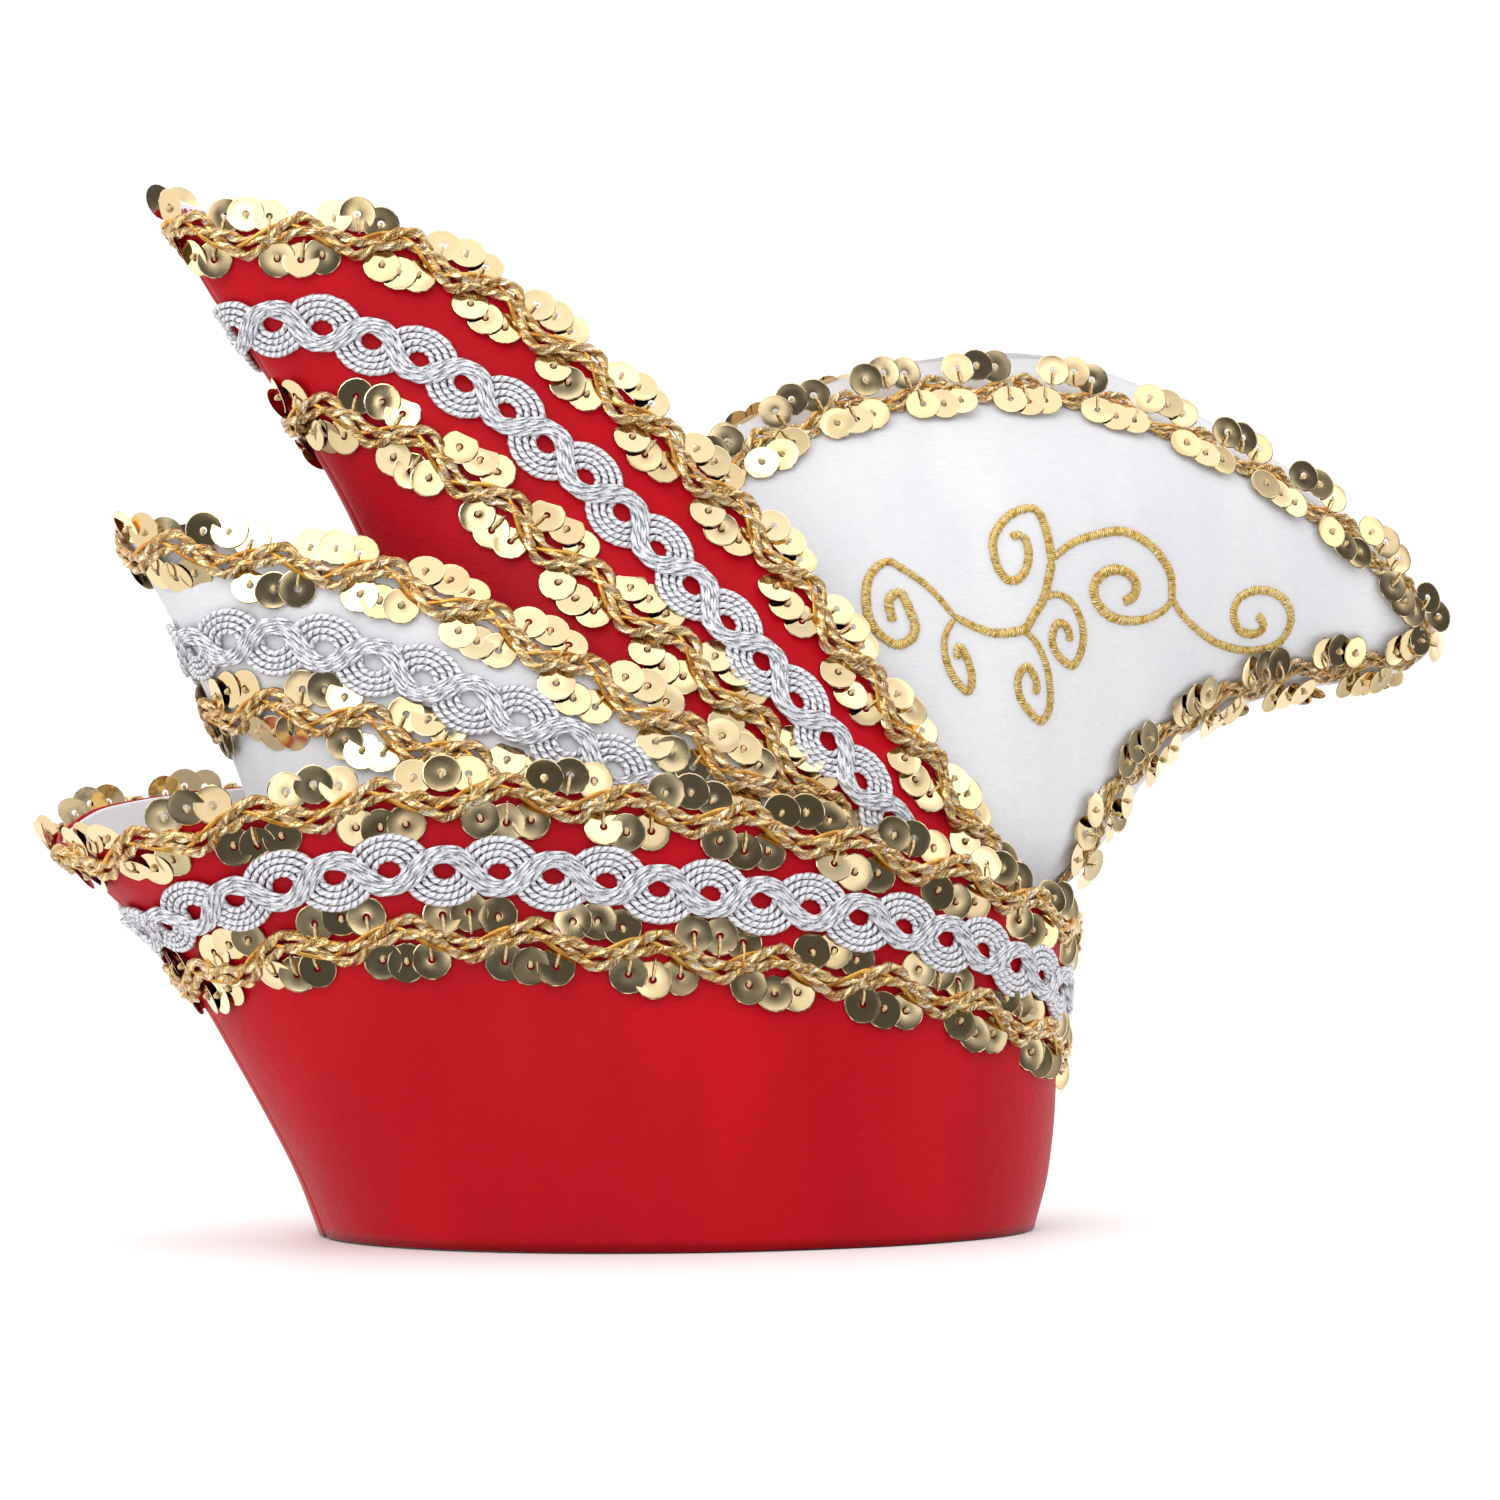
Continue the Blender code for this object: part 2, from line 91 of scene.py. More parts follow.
# The studio, in metres: each lamp's place, size, share of the key light's power, and whether shiny things show it.
LAMPS = {
    "key_light": ((-1.25, -0.85, 1.05), 1.3, 1.0, True),
    "fill_light": ((1.35, -0.95, 0.75), 0.9, 0.5, False),
    "front_fill": ((-0.35, -1.6, 0.55), 1.1, 0.7, False),
}
LAMP_AIM = (0, 0, 0.12)
CAMERA_PLACE = (-0.3032, -0.7469, 0.062)
CAMERA_AIM = (-0.0165, 0.0, 0.128)
SENSOR_WIDTH = 36.0
FLOOR_RINGS = (0.4, 0.8, 1.2, 1.6, 2.0)
FLOOR_DROP = 0.0004
# Sections of the layers, from the foot up: height, front, back and half the width.
CUFF_LEVELS = (
    (0, -94, 97, 76.5), (15, -100.5, 102, 76.8), (30, -108.5, 104, 76.8), (45, -117, 104.5, 76.5),
    (60, -126, 106, 75.5), (75, -137.5, 108, 75), (90, -153, 110, 74), (100, -163, 111, 73), (125, -186, 112, 69.5),
)
WHITE_LEVELS = (
    (8, -92, 94.5, 73.1), (25, -96, 98.5, 73.3), (45, -100, 100.5, 73.0), (60, -102, 102, 72), (90, -108, 104, 70.2),
    (111, -115, 105, 67.2), (136, -125, 105, 61.5), (159, -136, 104, 53), (170, -143, 103, 47), (180, -149, 102, 43),
    (195, -158, 100, 38),
)
RED_LEVELS = (
    (12, -88, 91.5, 70.5), (45, -84, 97.5, 70.5), (60, -81, 99, 69.5), (90, -76, 101, 67.6), (115, -74, 101, 64),
    (140, -75, 100, 58.5), (160, -78.5, 98, 53.5), (177, -84, 96, 48.5), (192, -92, 94, 45.5), (207, -102, 92, 42),
    (230, -118, 90, 36.5), (247, -130, 88, 32), (265, -139, 86, 27), (280, -146, 84, 23),
)
# The cloth's edges on the far side, side view: x, z.
CUFF_EDGE = ((-164, 101), (-147, 111), (-116, 117), (-78, 121), (-42, 117), (-17, 110), (10, 104), (37, 97), (65, 91),
             (82, 86), (98, 81), (112, 79))
WHITE_EDGE = ((-150, 181), (-131, 180), (-106, 175), (-81, 169), (-58, 157), (-37, 144), (-16, 131), (0, 119),
              (12, 108), (28, 92), (48, 74), (72, 62), (106, 58))
RED_EDGE = ((-142, 267), (-125, 266), (-100, 264), (-76, 258), (-57, 246), (-38, 229), (-20, 212), (-3, 197),
            (13, 178), (28, 159), (44, 140), (58, 122), (71, 107), (84, 90), (102, 70))
# Middles of the edge trims on the camera's side, where the edges sag.
CUFF_TRIM = ((-164, 92.5), (-151, 96), (-141.5, 99.3), (-129, 102.3), (-113.5, 105), (-103, 106.4), (-91, 107.7),
             (-79, 108.6), (-67.7, 108.8), (-53.3, 108.2), (-41.2, 107.3), (-28.8, 106), (-18.7, 104.7), (-3.3, 102.4),
             (7.3, 100.6), (15.3, 99.1), (29.2, 96.3), (40.8, 93.6), (53.2, 91), (66.7, 87.7), (78.2, 84.2),
             (95, 79.5), (112, 75.5))
WHITE_TRIM = ((-150, 172.5), (-131, 171.5), (-114, 167.5), (-98, 166), (-81, 160.8), (-58, 148.2), (-37, 135.3),
              (-16, 122.5), (0, 110.5), (12, 99.5), (28, 84), (48, 66), (72, 54), (106, 50))
RED_TRIM = ((-142, 256), (-128, 254.2), (-114.8, 253.5), (-100.3, 254.1), (-83, 251.6), (-70.6, 246.5), (-58.3, 238.5),
            (-47.2, 229.3), (-36.1, 220), (-26.3, 210.3), (-8.9, 193.8), (5.2, 179.5), (13.6, 167.7), (21.4, 156.2),
            (28.2, 145.5), (39.5, 131), (50, 118), (60, 106), (72, 91.5), (84, 77.5), (102, 59))
# Middles of the braids and the lower trims.
CUFF_BRAID = ((-150, 73), (-140.3, 78.2), (-132.7, 82.6), (-122.9, 86), (-112.5, 88.8), (-101.7, 90.5), (-90.6, 91.4),
              (-79.2, 91.3), (-67.7, 90.8), (-54.7, 90), (-42.3, 88.7), (-29.3, 87.1), (-16.3, 85.8), (-2.6, 84.4),
              (8.7, 82.8), (20.9, 80.8), (32.3, 78.7), (44.8, 76.1), (57.7, 73), (70.2, 69.4), (90, 63.5), (112, 60))
CUFF_LOWER = ((-137, 61), (-128.3, 66.3), (-125.1, 68), (-113.9, 72.3), (-100.5, 74.8), (-87.5, 75.6), (-72.9, 75.4),
              (-58, 74.4), (-43.9, 72.9), (-30.2, 71.5), (-15, 69.9), (-0.9, 68.1), (15.1, 65.9), (29.7, 63.8),
              (41.5, 61.7), (54.1, 58.9), (66.3, 55.6), (80.8, 51.3), (96, 46.5), (112, 43))
WHITE_BRAID = ((-139, 148), (-129.7, 149.2), (-120, 149.4), (-109.2, 148), (-98.2, 144.8), (-87, 141), (-75.7, 135.8),
               (-63, 129.7), (-49, 123), (-33, 113), (-15, 102), (5, 90))
WHITE_LOWER = ((-132, 132), (-117, 132.5), (-102, 130), (-80, 122), (-65, 114), (-50, 105), (-20, 90))
RED_BRAID = ((-124, 232), (-112.5, 232.4), (-102.2, 230.6), (-90.5, 227.2), (-80.8, 223.2), (-72.4, 218.8),
             (-61.5, 212), (-54.3, 206.2), (-47.1, 199.4), (-35.1, 188.6), (-25.4, 178.2), (-11.5, 161.5), (9, 137),
             (23, 119.5), (36, 104), (51, 87))
RED_LOWER = ((-106, 211.5), (-94, 208.8), (-87.2, 205.7), (-74.4, 198), (-63.8, 189.6), (-54.5, 180.8),
             (-45.3, 171.9), (-34.1, 161), (-14, 143), (2, 125), (14, 111), (26, 97), (45, 76))
# The crown's sections from its open foot to the tip of the horn.
CROWN_ROWS = (
    # ridge x, ridge z, back x, back z, half-width, ridge roundness, back roundness
    (-79, 16, 87.5, 16, 67.2, 2.0, 2.3),
    (-78, 45, 91, 42, 67.0, 2.0, 2.3),
    (-71, 86, 93.5, 70, 62.5, 1.9, 2.2),
    (-60, 120, 104.6, 87.8, 57, 1.65, 2.0),
    (-43, 155, 120.5, 96.8, 52, 1.3, 1.8),
    (-18, 188, 132.3, 109.2, 47.5, 1.0, 1.6),
    (13, 213, 142.9, 122.6, 43.5, 0.85, 1.5),
    (49, 232, 154.4, 132.9, 39.5, 0.75, 1.4),
    (82, 241.5, 166.9, 140.4, 35.5, 0.7, 1.4),
    (112, 244, 180.4, 146.1, 31, 0.7, 1.4),
    (140, 238.5, 194.1, 149.9, 26.5, 0.73, 1.4),
    (165, 229, 206.9, 152.2, 22, 0.78, 1.4),
    (190, 217.5, 218.5, 154, 17.5, 0.88, 1.4),
    (213, 203, 228.6, 156.8, 13, 1.05, 1.5),
    (230, 188, 236.7, 161.1, 8, 1.4, 1.6),
    (241, 171, 241, 166, 3, 2.0, 2.0),
)
TIP_SOLID = 0.90  # share of the crown's rows that is hollow, from the foot
# Middle of the trim on either side of the crown.
CROWN_TRIM = ((-14, 181), (5.3, 196.5), (20.3, 207.8), (32.3, 215.2), (44, 220.3), (53.7, 223.6),
              (67.8, 227.4), (84, 230), (99, 231), (113, 229.8), (127.4, 226.2), (138, 222), (151, 217),
              (167, 211.8), (180, 206.4), (190, 201.4), (200, 195.8), (209, 190), (217.6, 184),
              (226.4, 177), (231.8, 171.3), (232.4, 166), (228, 162.4), (220.6, 160), (210, 158.3),
              (193.7, 156), (181.7, 153.3), (168.2, 149.4), (158, 145.2), (148, 139.9), (137.4, 133),
              (127.7, 125.3), (120.2, 117.8), (114.9, 111), (111.8, 104.3), (109.5, 98), (107, 92))


def dense(rows, column, step=1.0):
    """A smooth curve through one column of a table, by its first column, as two arrays for np.interp."""
    xs, ys = (np.array([row[k] for row in rows], float) for k in (0, column))
    gap = np.diff(xs)
    slopes = np.diff(ys) / gap
    a, b = slopes[:-1], slopes[1:]
    rising = a * b > 0
    tangents = np.concatenate([slopes[:1], np.where(rising, 2 * a * b / np.where(rising, a + b, 1), 0), slopes[-1:]])
    x = np.arange(xs[0], xs[-1] + step, step)
    held = np.minimum(x, xs[-1])
    i = np.clip(np.searchsorted(xs, held) - 1, 0, len(gap) - 1)
    h, t = gap[i], (held - xs[i]) / gap[i]
    t2, t3 = t * t, t * t * t
    return x, ((2 * t3 - 3 * t2 + 1) * ys[i] + (t3 - 2 * t2 + t) * h * tangents[i]
               + (3 * t2 - 2 * t3) * ys[i + 1] + (t3 - t2) * h * tangents[i + 1])


def smooth_path(points, count):
    """Catmull-Rom curve through the points, as count rows."""
    pts = np.array(points, float)
    n = len(pts) - 1
    s = np.linspace(0, n, count)
    i = np.minimum(s.astype(int), n - 1)
    t = (s - i)[:, None]
    p0, p1, p2, p3 = (pts[np.clip(i + k, 0, n)] for k in (-1, 0, 1, 2))
    return 0.5 * (2 * p1 + (p2 - p0) * t + (2 * p0 - 5 * p1 + 4 * p2 - p3) * t ** 2
                  + (3 * p1 - p0 - 3 * p2 + p3) * t ** 3)


def unit(v):
    """Vectors brought to length one."""
    return v / np.maximum(np.linalg.norm(v, axis=-1, keepdims=True), 1e-9)


def run_along(line):
    """Millimetres from the start of a line to each of its points."""
    return np.concatenate([[0], np.cumsum(np.linalg.norm(np.diff(line, axis=0), axis=1))])


def halve(lo, hi, below, rounds):
    """Where a test stops being true between two arrays."""
    for _ in range(rounds):
        mid = (lo + hi) / 2
        low = below(mid)
        lo, hi = np.where(low, mid, lo), np.where(low, hi, mid)
    return lo


def soft_wave(p):
    """Slow, shallow unevenness that all the layers of cloth share, millimetres."""
    x, y, z = p[..., 0], np.abs(p[..., 1]), p[..., 2]
    return (0.55 * np.sin(x / 19.0 + z / 41.0 + 0.6) * np.sin(z / 27.0 - x / 63.0 + 1.1)
            + 0.35 * np.sin(x / 31.0 - z / 17.0 + y / 40.0 + 2.0))


class Surface:
    """What the layers and the crown share: normals, and moves along the cloth."""

    steps = (2e-3, 0.2)  # small changes of a and b, for slopes

    def skin(self, a, b):
        """Points of the finished cloth, its unevenness on it."""
        p = self.point(a, b)
        return p + self.flat_normal(a, b) * soft_wave(p)[..., None]

    def flat_normal(self, a, b, shape=None):
        """Outward normals of the plain shape, or of another one."""
        shape = shape or self.point
        da, db = self.steps
        u = shape(a + da, b) - shape(a - da, b)
        v = shape(a, b + db) - shape(a, b - db)
        n = unit(np.cross(v, u))
        return n * np.sign((n * (shape(a, b) - self.heart(a, b))).sum(-1, keepdims=True) + 1e-12)

    def normal(self, a, b):
        """Outward normals of the finished cloth."""
        return self.flat_normal(a, b, self.skin)

    def slide(self, a, b, move):
        """The (a, b) reached from points of the surface by small moves along it."""
        goal = self.point(a, b) + move
        da, db = self.steps
        for _ in range(4):
            here = self.point(a, b)
            u = (self.point(a + da, b) - here) / da
            v = (self.point(a, b + db) - here) / db
            r = goal - here
            uu, uv, vv, ur, vr = ((p * q).sum(-1) for p, q in ((u, u), (u, v), (v, v), (u, r), (v, r)))
            det = uu * vv - uv * uv + 1e-9
            a = a + (ur * vv - vr * uv) / det
            b = b + (vr * uu - ur * uv) / det
        return a, b


class Layer(Surface):
    """A boat-shaped layer of cloth; a is the way round from the front seam, b is the height."""

    def __init__(self, levels, near, far, foot):
        (self.z, self.front), (_, self.back), (_, self.half) = (dense(levels, column) for column in (1, 2, 3))
        self.near, self.far, self.foot, self.top = near, far, foot, levels[-1][0]

    def point(self, u, z):
        """Points of the plain shape."""
        c, s = np.cos(u), np.sin(u)
        power = np.where(c > 0, FRONT_ROUNDNESS, BACK_SQUARENESS)
        reach = np.where(c > 0, np.interp(z, self.z, self.front), np.interp(z, self.z, self.back))
        x = reach * np.abs(c) ** (2 / power)
        y = np.sign(s) * np.interp(z, self.z, self.half) * np.abs(s) ** (2 / power)
        return np.stack([x, y, z + 0 * x], -1)

    def heart(self, u, z):
        """The point inside that the cloth faces away from."""
        return np.stack([0 * u, 0 * u, z + 0 * u], -1)

    def height(self, u, line):
        """Height where the surface at u meets a side-view line."""
        return halve(np.full_like(u, self.foot), np.full_like(u, self.top),
                     lambda z: z < np.interp(self.point(u, z)[..., 0], *line), 30)

    def between_sides(self, u, near, far):
        """Height along a line that differs on the two sides and blends round the prow."""
        far_part = np.clip(u / PROW_BLEND + 0.5, 0, 1)
        far_part = far_part * far_part * (3 - 2 * far_part)
        return self.height(u, dense(near, 1)) * (1 - far_part) + self.height(u, dense(far, 1)) * far_part

    def edge(self, u):
        """Height of the cloth's edge."""
        return self.between_sides(u, tuple((x, z + TRIM_DROP) for x, z in self.near), self.far)


class Crown(Surface):
    """The horned crown; a is the way round from the ridge, b runs from the foot to the tip."""

    steps = (4e-3, 3e-3)

    def __init__(self):
        self.rows = smooth_path(CROWN_ROWS, 601)
        self.w = np.linspace(0, 1, len(self.rows))

    def row(self, w):
        """The crown's seven measures at w."""
        w = np.clip(w, 0, 1)
        return [np.interp(w, self.w, self.rows[:, k]) for k in range(7)]

    def point(self, u, w, wall=0.0):
        """Points of the plain shape, or of the inside of a wall."""
        rx, rz, bx, bz, half, ridge, back = self.row(w)
        length = np.hypot(bx - rx, bz - rz)
        start = wall * (1.0 + 1.2 * (2.0 - np.minimum(ridge, 2.0)) / 0.95) / length
        end = 1 - wall * (1.0 + 0.8 * (2.3 - np.minimum(back, 2.3)) / 0.9) / length
        t = (1 - np.cos(u)) / 2
        power = np.where(t < 0.5, ridge, back)
        wide = np.maximum(1 - (2 * t - 1) ** 2, 0) ** (1 / power)
        along = start + (end - start) * t
        return np.stack([rx + (bx - rx) * along, np.sign(np.sin(u)) * np.maximum(half - wall, 0.3) * wide,
                         rz + (bz - rz) * along], -1)

    def heart(self, u, w):
        """The point inside that the cloth faces away from."""
        rx, rz, bx, bz = self.row(w)[:4]
        return np.stack([(rx + bx) / 2, 0 * rx, (rz + bz) / 2], -1) + 0 * u[..., None]

    def solve(self, x, z):
        """The (u, w) on the near side of side-view points."""

        def short(w):
            rx, rz, bx, bz = self.row(w)[:4]
            return (bx - rx) * (z - rz) - (bz - rz) * (x - rx) >= 0

        w = halve(np.zeros_like(x), np.ones_like(x), short, 40)
        rx, rz, bx, bz = self.row(w)[:4]
        t = ((x - rx) * (bx - rx) + (z - rz) * (bz - rz)) / ((bx - rx) ** 2 + (bz - rz) ** 2)
        return -np.arccos(1 - 2 * np.clip(t, 0.002, 0.998)), w


class Ribbon:
    """A strip of cloth surface that follows a line: s along it, t across it and h above it, millimetres."""

    reach = 15.0
    half = 6  # columns on each side of the middle

    def __init__(self, surface, a, b, mirror=False, stands=False):
        run = run_along(surface.skin(a, b))
        self.length = run[-1]
        self.s = np.linspace(0, self.length, int(self.length) + 1)
        a, b = np.interp(self.s, run, a), np.interp(self.s, run, b)
        along = unit(np.gradient(surface.skin(a, b), axis=0))
        across = unit(np.cross(surface.normal(a, b), along))
        if across[len(across) // 2, 2] < 0:
            across = -across
        self.t = np.linspace(-self.reach, self.reach, 2 * self.half + 1)
        pace = self.t[1] - self.t[0]
        grid = {0: (a, b)}
        for side in (1, -1):
            for k in range(1, self.half + 1):
                grid[side * k] = surface.slide(*grid[side * (k - 1)], across * pace * side)
        flip = np.array([1, -1 if mirror else 1, 1])
        self.p, self.n = (np.stack([shape(*grid[k]) for k in sorted(grid)], 1) * flip
                          for shape in (surface.skin, surface.normal))
        if stands:
            self.stand()

    def stand(self):
        """Let the outer half stand up past the ridge instead of folding over it."""
        middle = self.half
        along = unit(np.gradient(self.p[:, middle], axis=0))
        leave = unit(self.p[:, middle + 1] - self.p[:, middle])
        stiff = np.clip(leave[:, 2:] * 2.5, 0, 1)
        leave = unit(leave * (1 - stiff) + unit(leave * np.array([1, 0.22, 1])) * stiff)
        face = unit(np.cross(along, leave))
        face = face * np.sign((face * self.n[:, middle]).sum(-1, keepdims=True))
        for j in range(middle + 1, 2 * middle + 1):
            flat = self.p[:, middle] + leave * self.t[j]
            self.p[:, j] = self.p[:, j] * (1 - stiff) + flat * stiff
            self.n[:, j] = unit(self.n[:, j] * (1 - stiff) + face * stiff)

    def at(self, s, t):
        """Points and normals of the strip."""
        i = np.clip(s / self.length * (len(self.s) - 1), 0, len(self.s) - 1.001)
        j = np.clip((t + self.reach) / (2 * self.reach) * 2 * self.half, 0, 2 * self.half - 0.001)
        i0, j0 = i.astype(int), j.astype(int)
        fi, fj = (i - i0)[..., None], (j - j0)[..., None]
        p, n = ((g[i0, j0] * (1 - fi) + g[i0 + 1, j0] * fi) * (1 - fj)
                + (g[i0, j0 + 1] * (1 - fi) + g[i0 + 1, j0 + 1] * fi) * fj for g in (self.p, self.n))
        return p, unit(n)

    def lift(self, s, t, h):
        """Points above the strip, and its normals there."""
        p, n = self.at(s, t)
        return p + n * h[..., None], n


def ring_quads(rows, count, base=0, shut=False):
    """Quads between rows of closed rings of count points, and from the last to the first if shut."""
    i = np.arange(rows if shut else rows - 1)[:, None] * count
    after = (i + count) % (rows * count)
    j = np.arange(count)[None]
    k = (j + 1) % count
    return np.stack([i + j, i + k, after + k, after + j], -1).reshape(-1, 4) + base


def fan(tip, ring, count, turned=False):
    """Triangles from a point to a closed ring, as quads whose last corner comes twice."""
    j = ring + np.arange(count)
    k = np.roll(j, -1)
    if turned:
        j, k = k, j
    return np.stack([np.full(count, tip), j, k, k], -1)


class Heap:
    """Collects points, faces and the thread coordinates of many small things for one mesh."""

    def __init__(self):
        self.points, self.faces, self.marks, self.count = [], [], [], 0

    def add(self, points, quads, marks):
        self.points.append(points)
        self.faces.append(quads + self.count)
        self.marks.append(marks)
        self.count += len(points)

    def tube(self, line, up, radius, sides=8, lobes=0, pitch=1.0, depth=0.0, flat=1.0, start=0.0):
        """A cord along a line, its section twisted into lobes."""
        tangent = unit(np.gradient(line, axis=0))
        side = unit(np.cross(tangent, up))
        up = np.cross(side, tangent)
        run = (run_along(line) + start)[:, None]
        theta = np.arange(sides)[None] / sides * 2 * math.pi
        bulge = 1 + depth * np.cos(lobes * theta - 2 * math.pi * run / pitch)
        r = np.broadcast_to(np.asarray(radius, float).reshape(-1, 1), run.shape) * bulge
        ring = side[:, None] * (np.cos(theta) * r)[..., None] + up[:, None] * (np.sin(theta) * r * flat)[..., None]
        points = (line[:, None] + ring).reshape(-1, 3)
        marks = np.stack(np.broadcast_arrays(np.cos(theta), np.sin(theta), run), -1).reshape(-1, 3)
        middle, last = len(points), len(points) - sides
        quads = [ring_quads(len(line), sides), fan(middle, 0, sides, True), fan(middle + 1, last, sides)]
        self.add(np.vstack([points, line[:1], line[-1:]]), np.vstack(quads), np.vstack([marks, marks[:1], marks[-1:]]))

    def build(self, name, mat, slot, *nodes, mark_name="thread", crisp=None):
        """One object on the cap's body, standing for the named solids."""
        piece = new_piece(name, np.vstack(self.points), np.vstack(self.faces), mat, slot, *nodes)
        layer = piece.data.attributes.new(mark_name, "FLOAT_VECTOR", "POINT")
        layer.data.foreach_set("vector", np.vstack(self.marks).astype(np.float32).ravel())
        if crisp:
            piece.data.set_sharp_from_angle(angle=math.radians(crisp))


def new_object(name, points, quads, mat):
    """A smooth-shaded mesh object from points in metres; a quad whose last corner comes twice is a triangle."""
    mesh = bpy.data.meshes.new(name)
    three = quads[:, 2] == quads[:, 3]
    sizes = np.where(three, 3, 4)
    keep = np.ones_like(quads, bool)
    keep[three, 3] = False
    mesh.vertices.add(len(points))
    mesh.vertices.foreach_set("co", points.ravel())
    mesh.loops.add(int(sizes.sum()))
    mesh.loops.foreach_set("vertex_index", quads[keep].astype(np.int32))
    mesh.polygons.add(len(quads))
    mesh.polygons.foreach_set("loop_start", (np.cumsum(sizes) - sizes).astype(np.int32))
    mesh.polygons.foreach_set("loop_total", sizes.astype(np.int32))
    mesh.update(calc_edges=True)
    mesh.validate()
    mesh.shade_smooth()
    mesh.materials.append(mat)
    made = bpy.data.objects.new(name, mesh)
    bpy.context.collection.objects.link(made)
    return made


def new_piece(name, points, quads, mat, slot, *nodes):
    """A piece on the cap's body from points in millimetres, with its finish, standing for the solids; its slot is not
    used.
    """
    piece = new_object(name, (points + np.array([BODY_SHIFT_X, 0, 0])) * MM, quads, mat)
    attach(piece, BODY)
    if nodes:
        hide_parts(*nodes)
    return piece


# ---------------------------------------------------------------- finishes

class NodeBench:
    """Helpers that add nodes to one tree."""

    def __init__(self, tree):
        self.nodes, self.links = tree.nodes, tree.links

    def node(self, kind, inputs=(), **settings):
        """A node with its settings, and sockets linked or set."""
        node = self.nodes.new(kind)
        for key, value in settings.items():
            setattr(node, key, value)
        for key, value in dict(inputs).items():
            if isinstance(value, bpy.types.NodeSocket):
                self.links.new(value, node.inputs[key])
            else:
                node.inputs[key].default_value = value
        return node

    def math(self, operation, a, b=0.0, c=0.0):
        return self.node("ShaderNodeMath", {0: a, 1: b, 2: c}, operation=operation).outputs[0]

    def parts(self, vector):
        return self.node("ShaderNodeSeparateXYZ", {0: vector}).outputs

    def place(self):
        """The object's own coordinates."""
        return self.node("ShaderNodeTexCoord").outputs["Object"]

    def noise(self, scale, detail=3.0, rough=0.5, vector=None):
        return self.node("ShaderNodeTexNoise", {"Scale": scale, "Detail": detail, "Roughness": rough,
                                                "Vector": vector or self.place()}).outputs[0]

    def ramp(self, factor, *stops):
        """A colour ramp from pairs of place and colour."""
        node = self.node("ShaderNodeValToRGB", {0: factor})
        elements = node.color_ramp.elements
        for k, (place, colour) in enumerate(stops):
            stop = elements[k] if k < 2 else elements.new(place)
            stop.position = place
            stop.color = (*colour, 1)
        return node.outputs[0]


class Finish(NodeBench):
    """Helpers for one material."""

    def __init__(self, name):
        self.mat = bpy.data.materials.new(name)
        self.mat.use_nodes = True
        super().__init__(self.mat.node_tree)

    def done(self, base, rough, normal=None, **values):
        """The material, with its shader's own constants."""
        inputs = self.nodes["Principled BSDF"].inputs
        self.links.new(base, inputs["Base Color"])
        self.links.new(rough, inputs["Roughness"])
        if normal:
            self.links.new(normal, inputs["Normal"])
        for key, value in values.items():
            inputs[key.replace("_", " ")].default_value = value
        return self.mat

    def stretched(self, spin, scale):
        """The object's coordinates, turned and scaled."""
        return self.node("ShaderNodeMapping", {"Vector": self.place(), "Rotation": spin, "Scale": scale}).outputs[0]

    def mask(self, factor, low, high):
        """From black at low to white at high."""
        return self.ramp(factor, (low, (0, 0, 0)), (high, (1, 1, 1)))

    def between(self, factor, low, high):
        """A factor from 0 to 1 brought between two values."""
        return self.node("ShaderNodeMapRange", {0: factor, 3: low, 4: high}).outputs[0]

    def blend(self, factor, a, b):
        a, b = ((*c, 1) if isinstance(c, tuple) else c for c in (a, b))
        return self.node("ShaderNodeMix", {0: factor, 6: a, 7: b}, data_type="RGBA").outputs[2]

    def relief(self, height, depth_mm, under=None):
        """A bump of a depth in millimetres, over another if given."""
        inputs = {"Strength": 1.0, "Distance": depth_mm * MM, "Height": height}
        return self.node("ShaderNodeBump", {**inputs, "Normal": under} if under else inputs).outputs[0]

    def marks(self, name="thread"):
        """A heap's coordinates: for a cord, cosine and sine round it and millimetres along it."""
        return self.parts(self.node("ShaderNodeAttribute", attribute_name=name).outputs["Vector"])

    def strands(self, count, pitch):
        """Height wave of strands wound round a cord."""
        mark = self.marks()
        angle = self.math("ARCTAN2", mark[1], mark[0])
        turn = self.math("MULTIPLY", mark[2], 2 * math.pi / pitch)
        phase = self.math("SUBTRACT", self.math("MULTIPLY", angle, float(count)), turn)
        return self.math("MULTIPLY_ADD", self.math("SINE", phase), 0.5, 0.5)

    def patches(self, across, along):
        """A colour of its own for each patch of thread, and the colour's parts."""
        place = self.node("ShaderNodeCombineXYZ", {0: across, 1: along}).outputs[0]
        cells = self.node("ShaderNodeTexVoronoi", {"Vector": place, "Scale": 1.0}).outputs["Color"]
        return cells, self.node("ShaderNodeSeparateColor", {0: cells}).outputs


def darker(colour, share):
    """A colour brought down to a share of its light."""
    return tuple(c * share for c in colour)


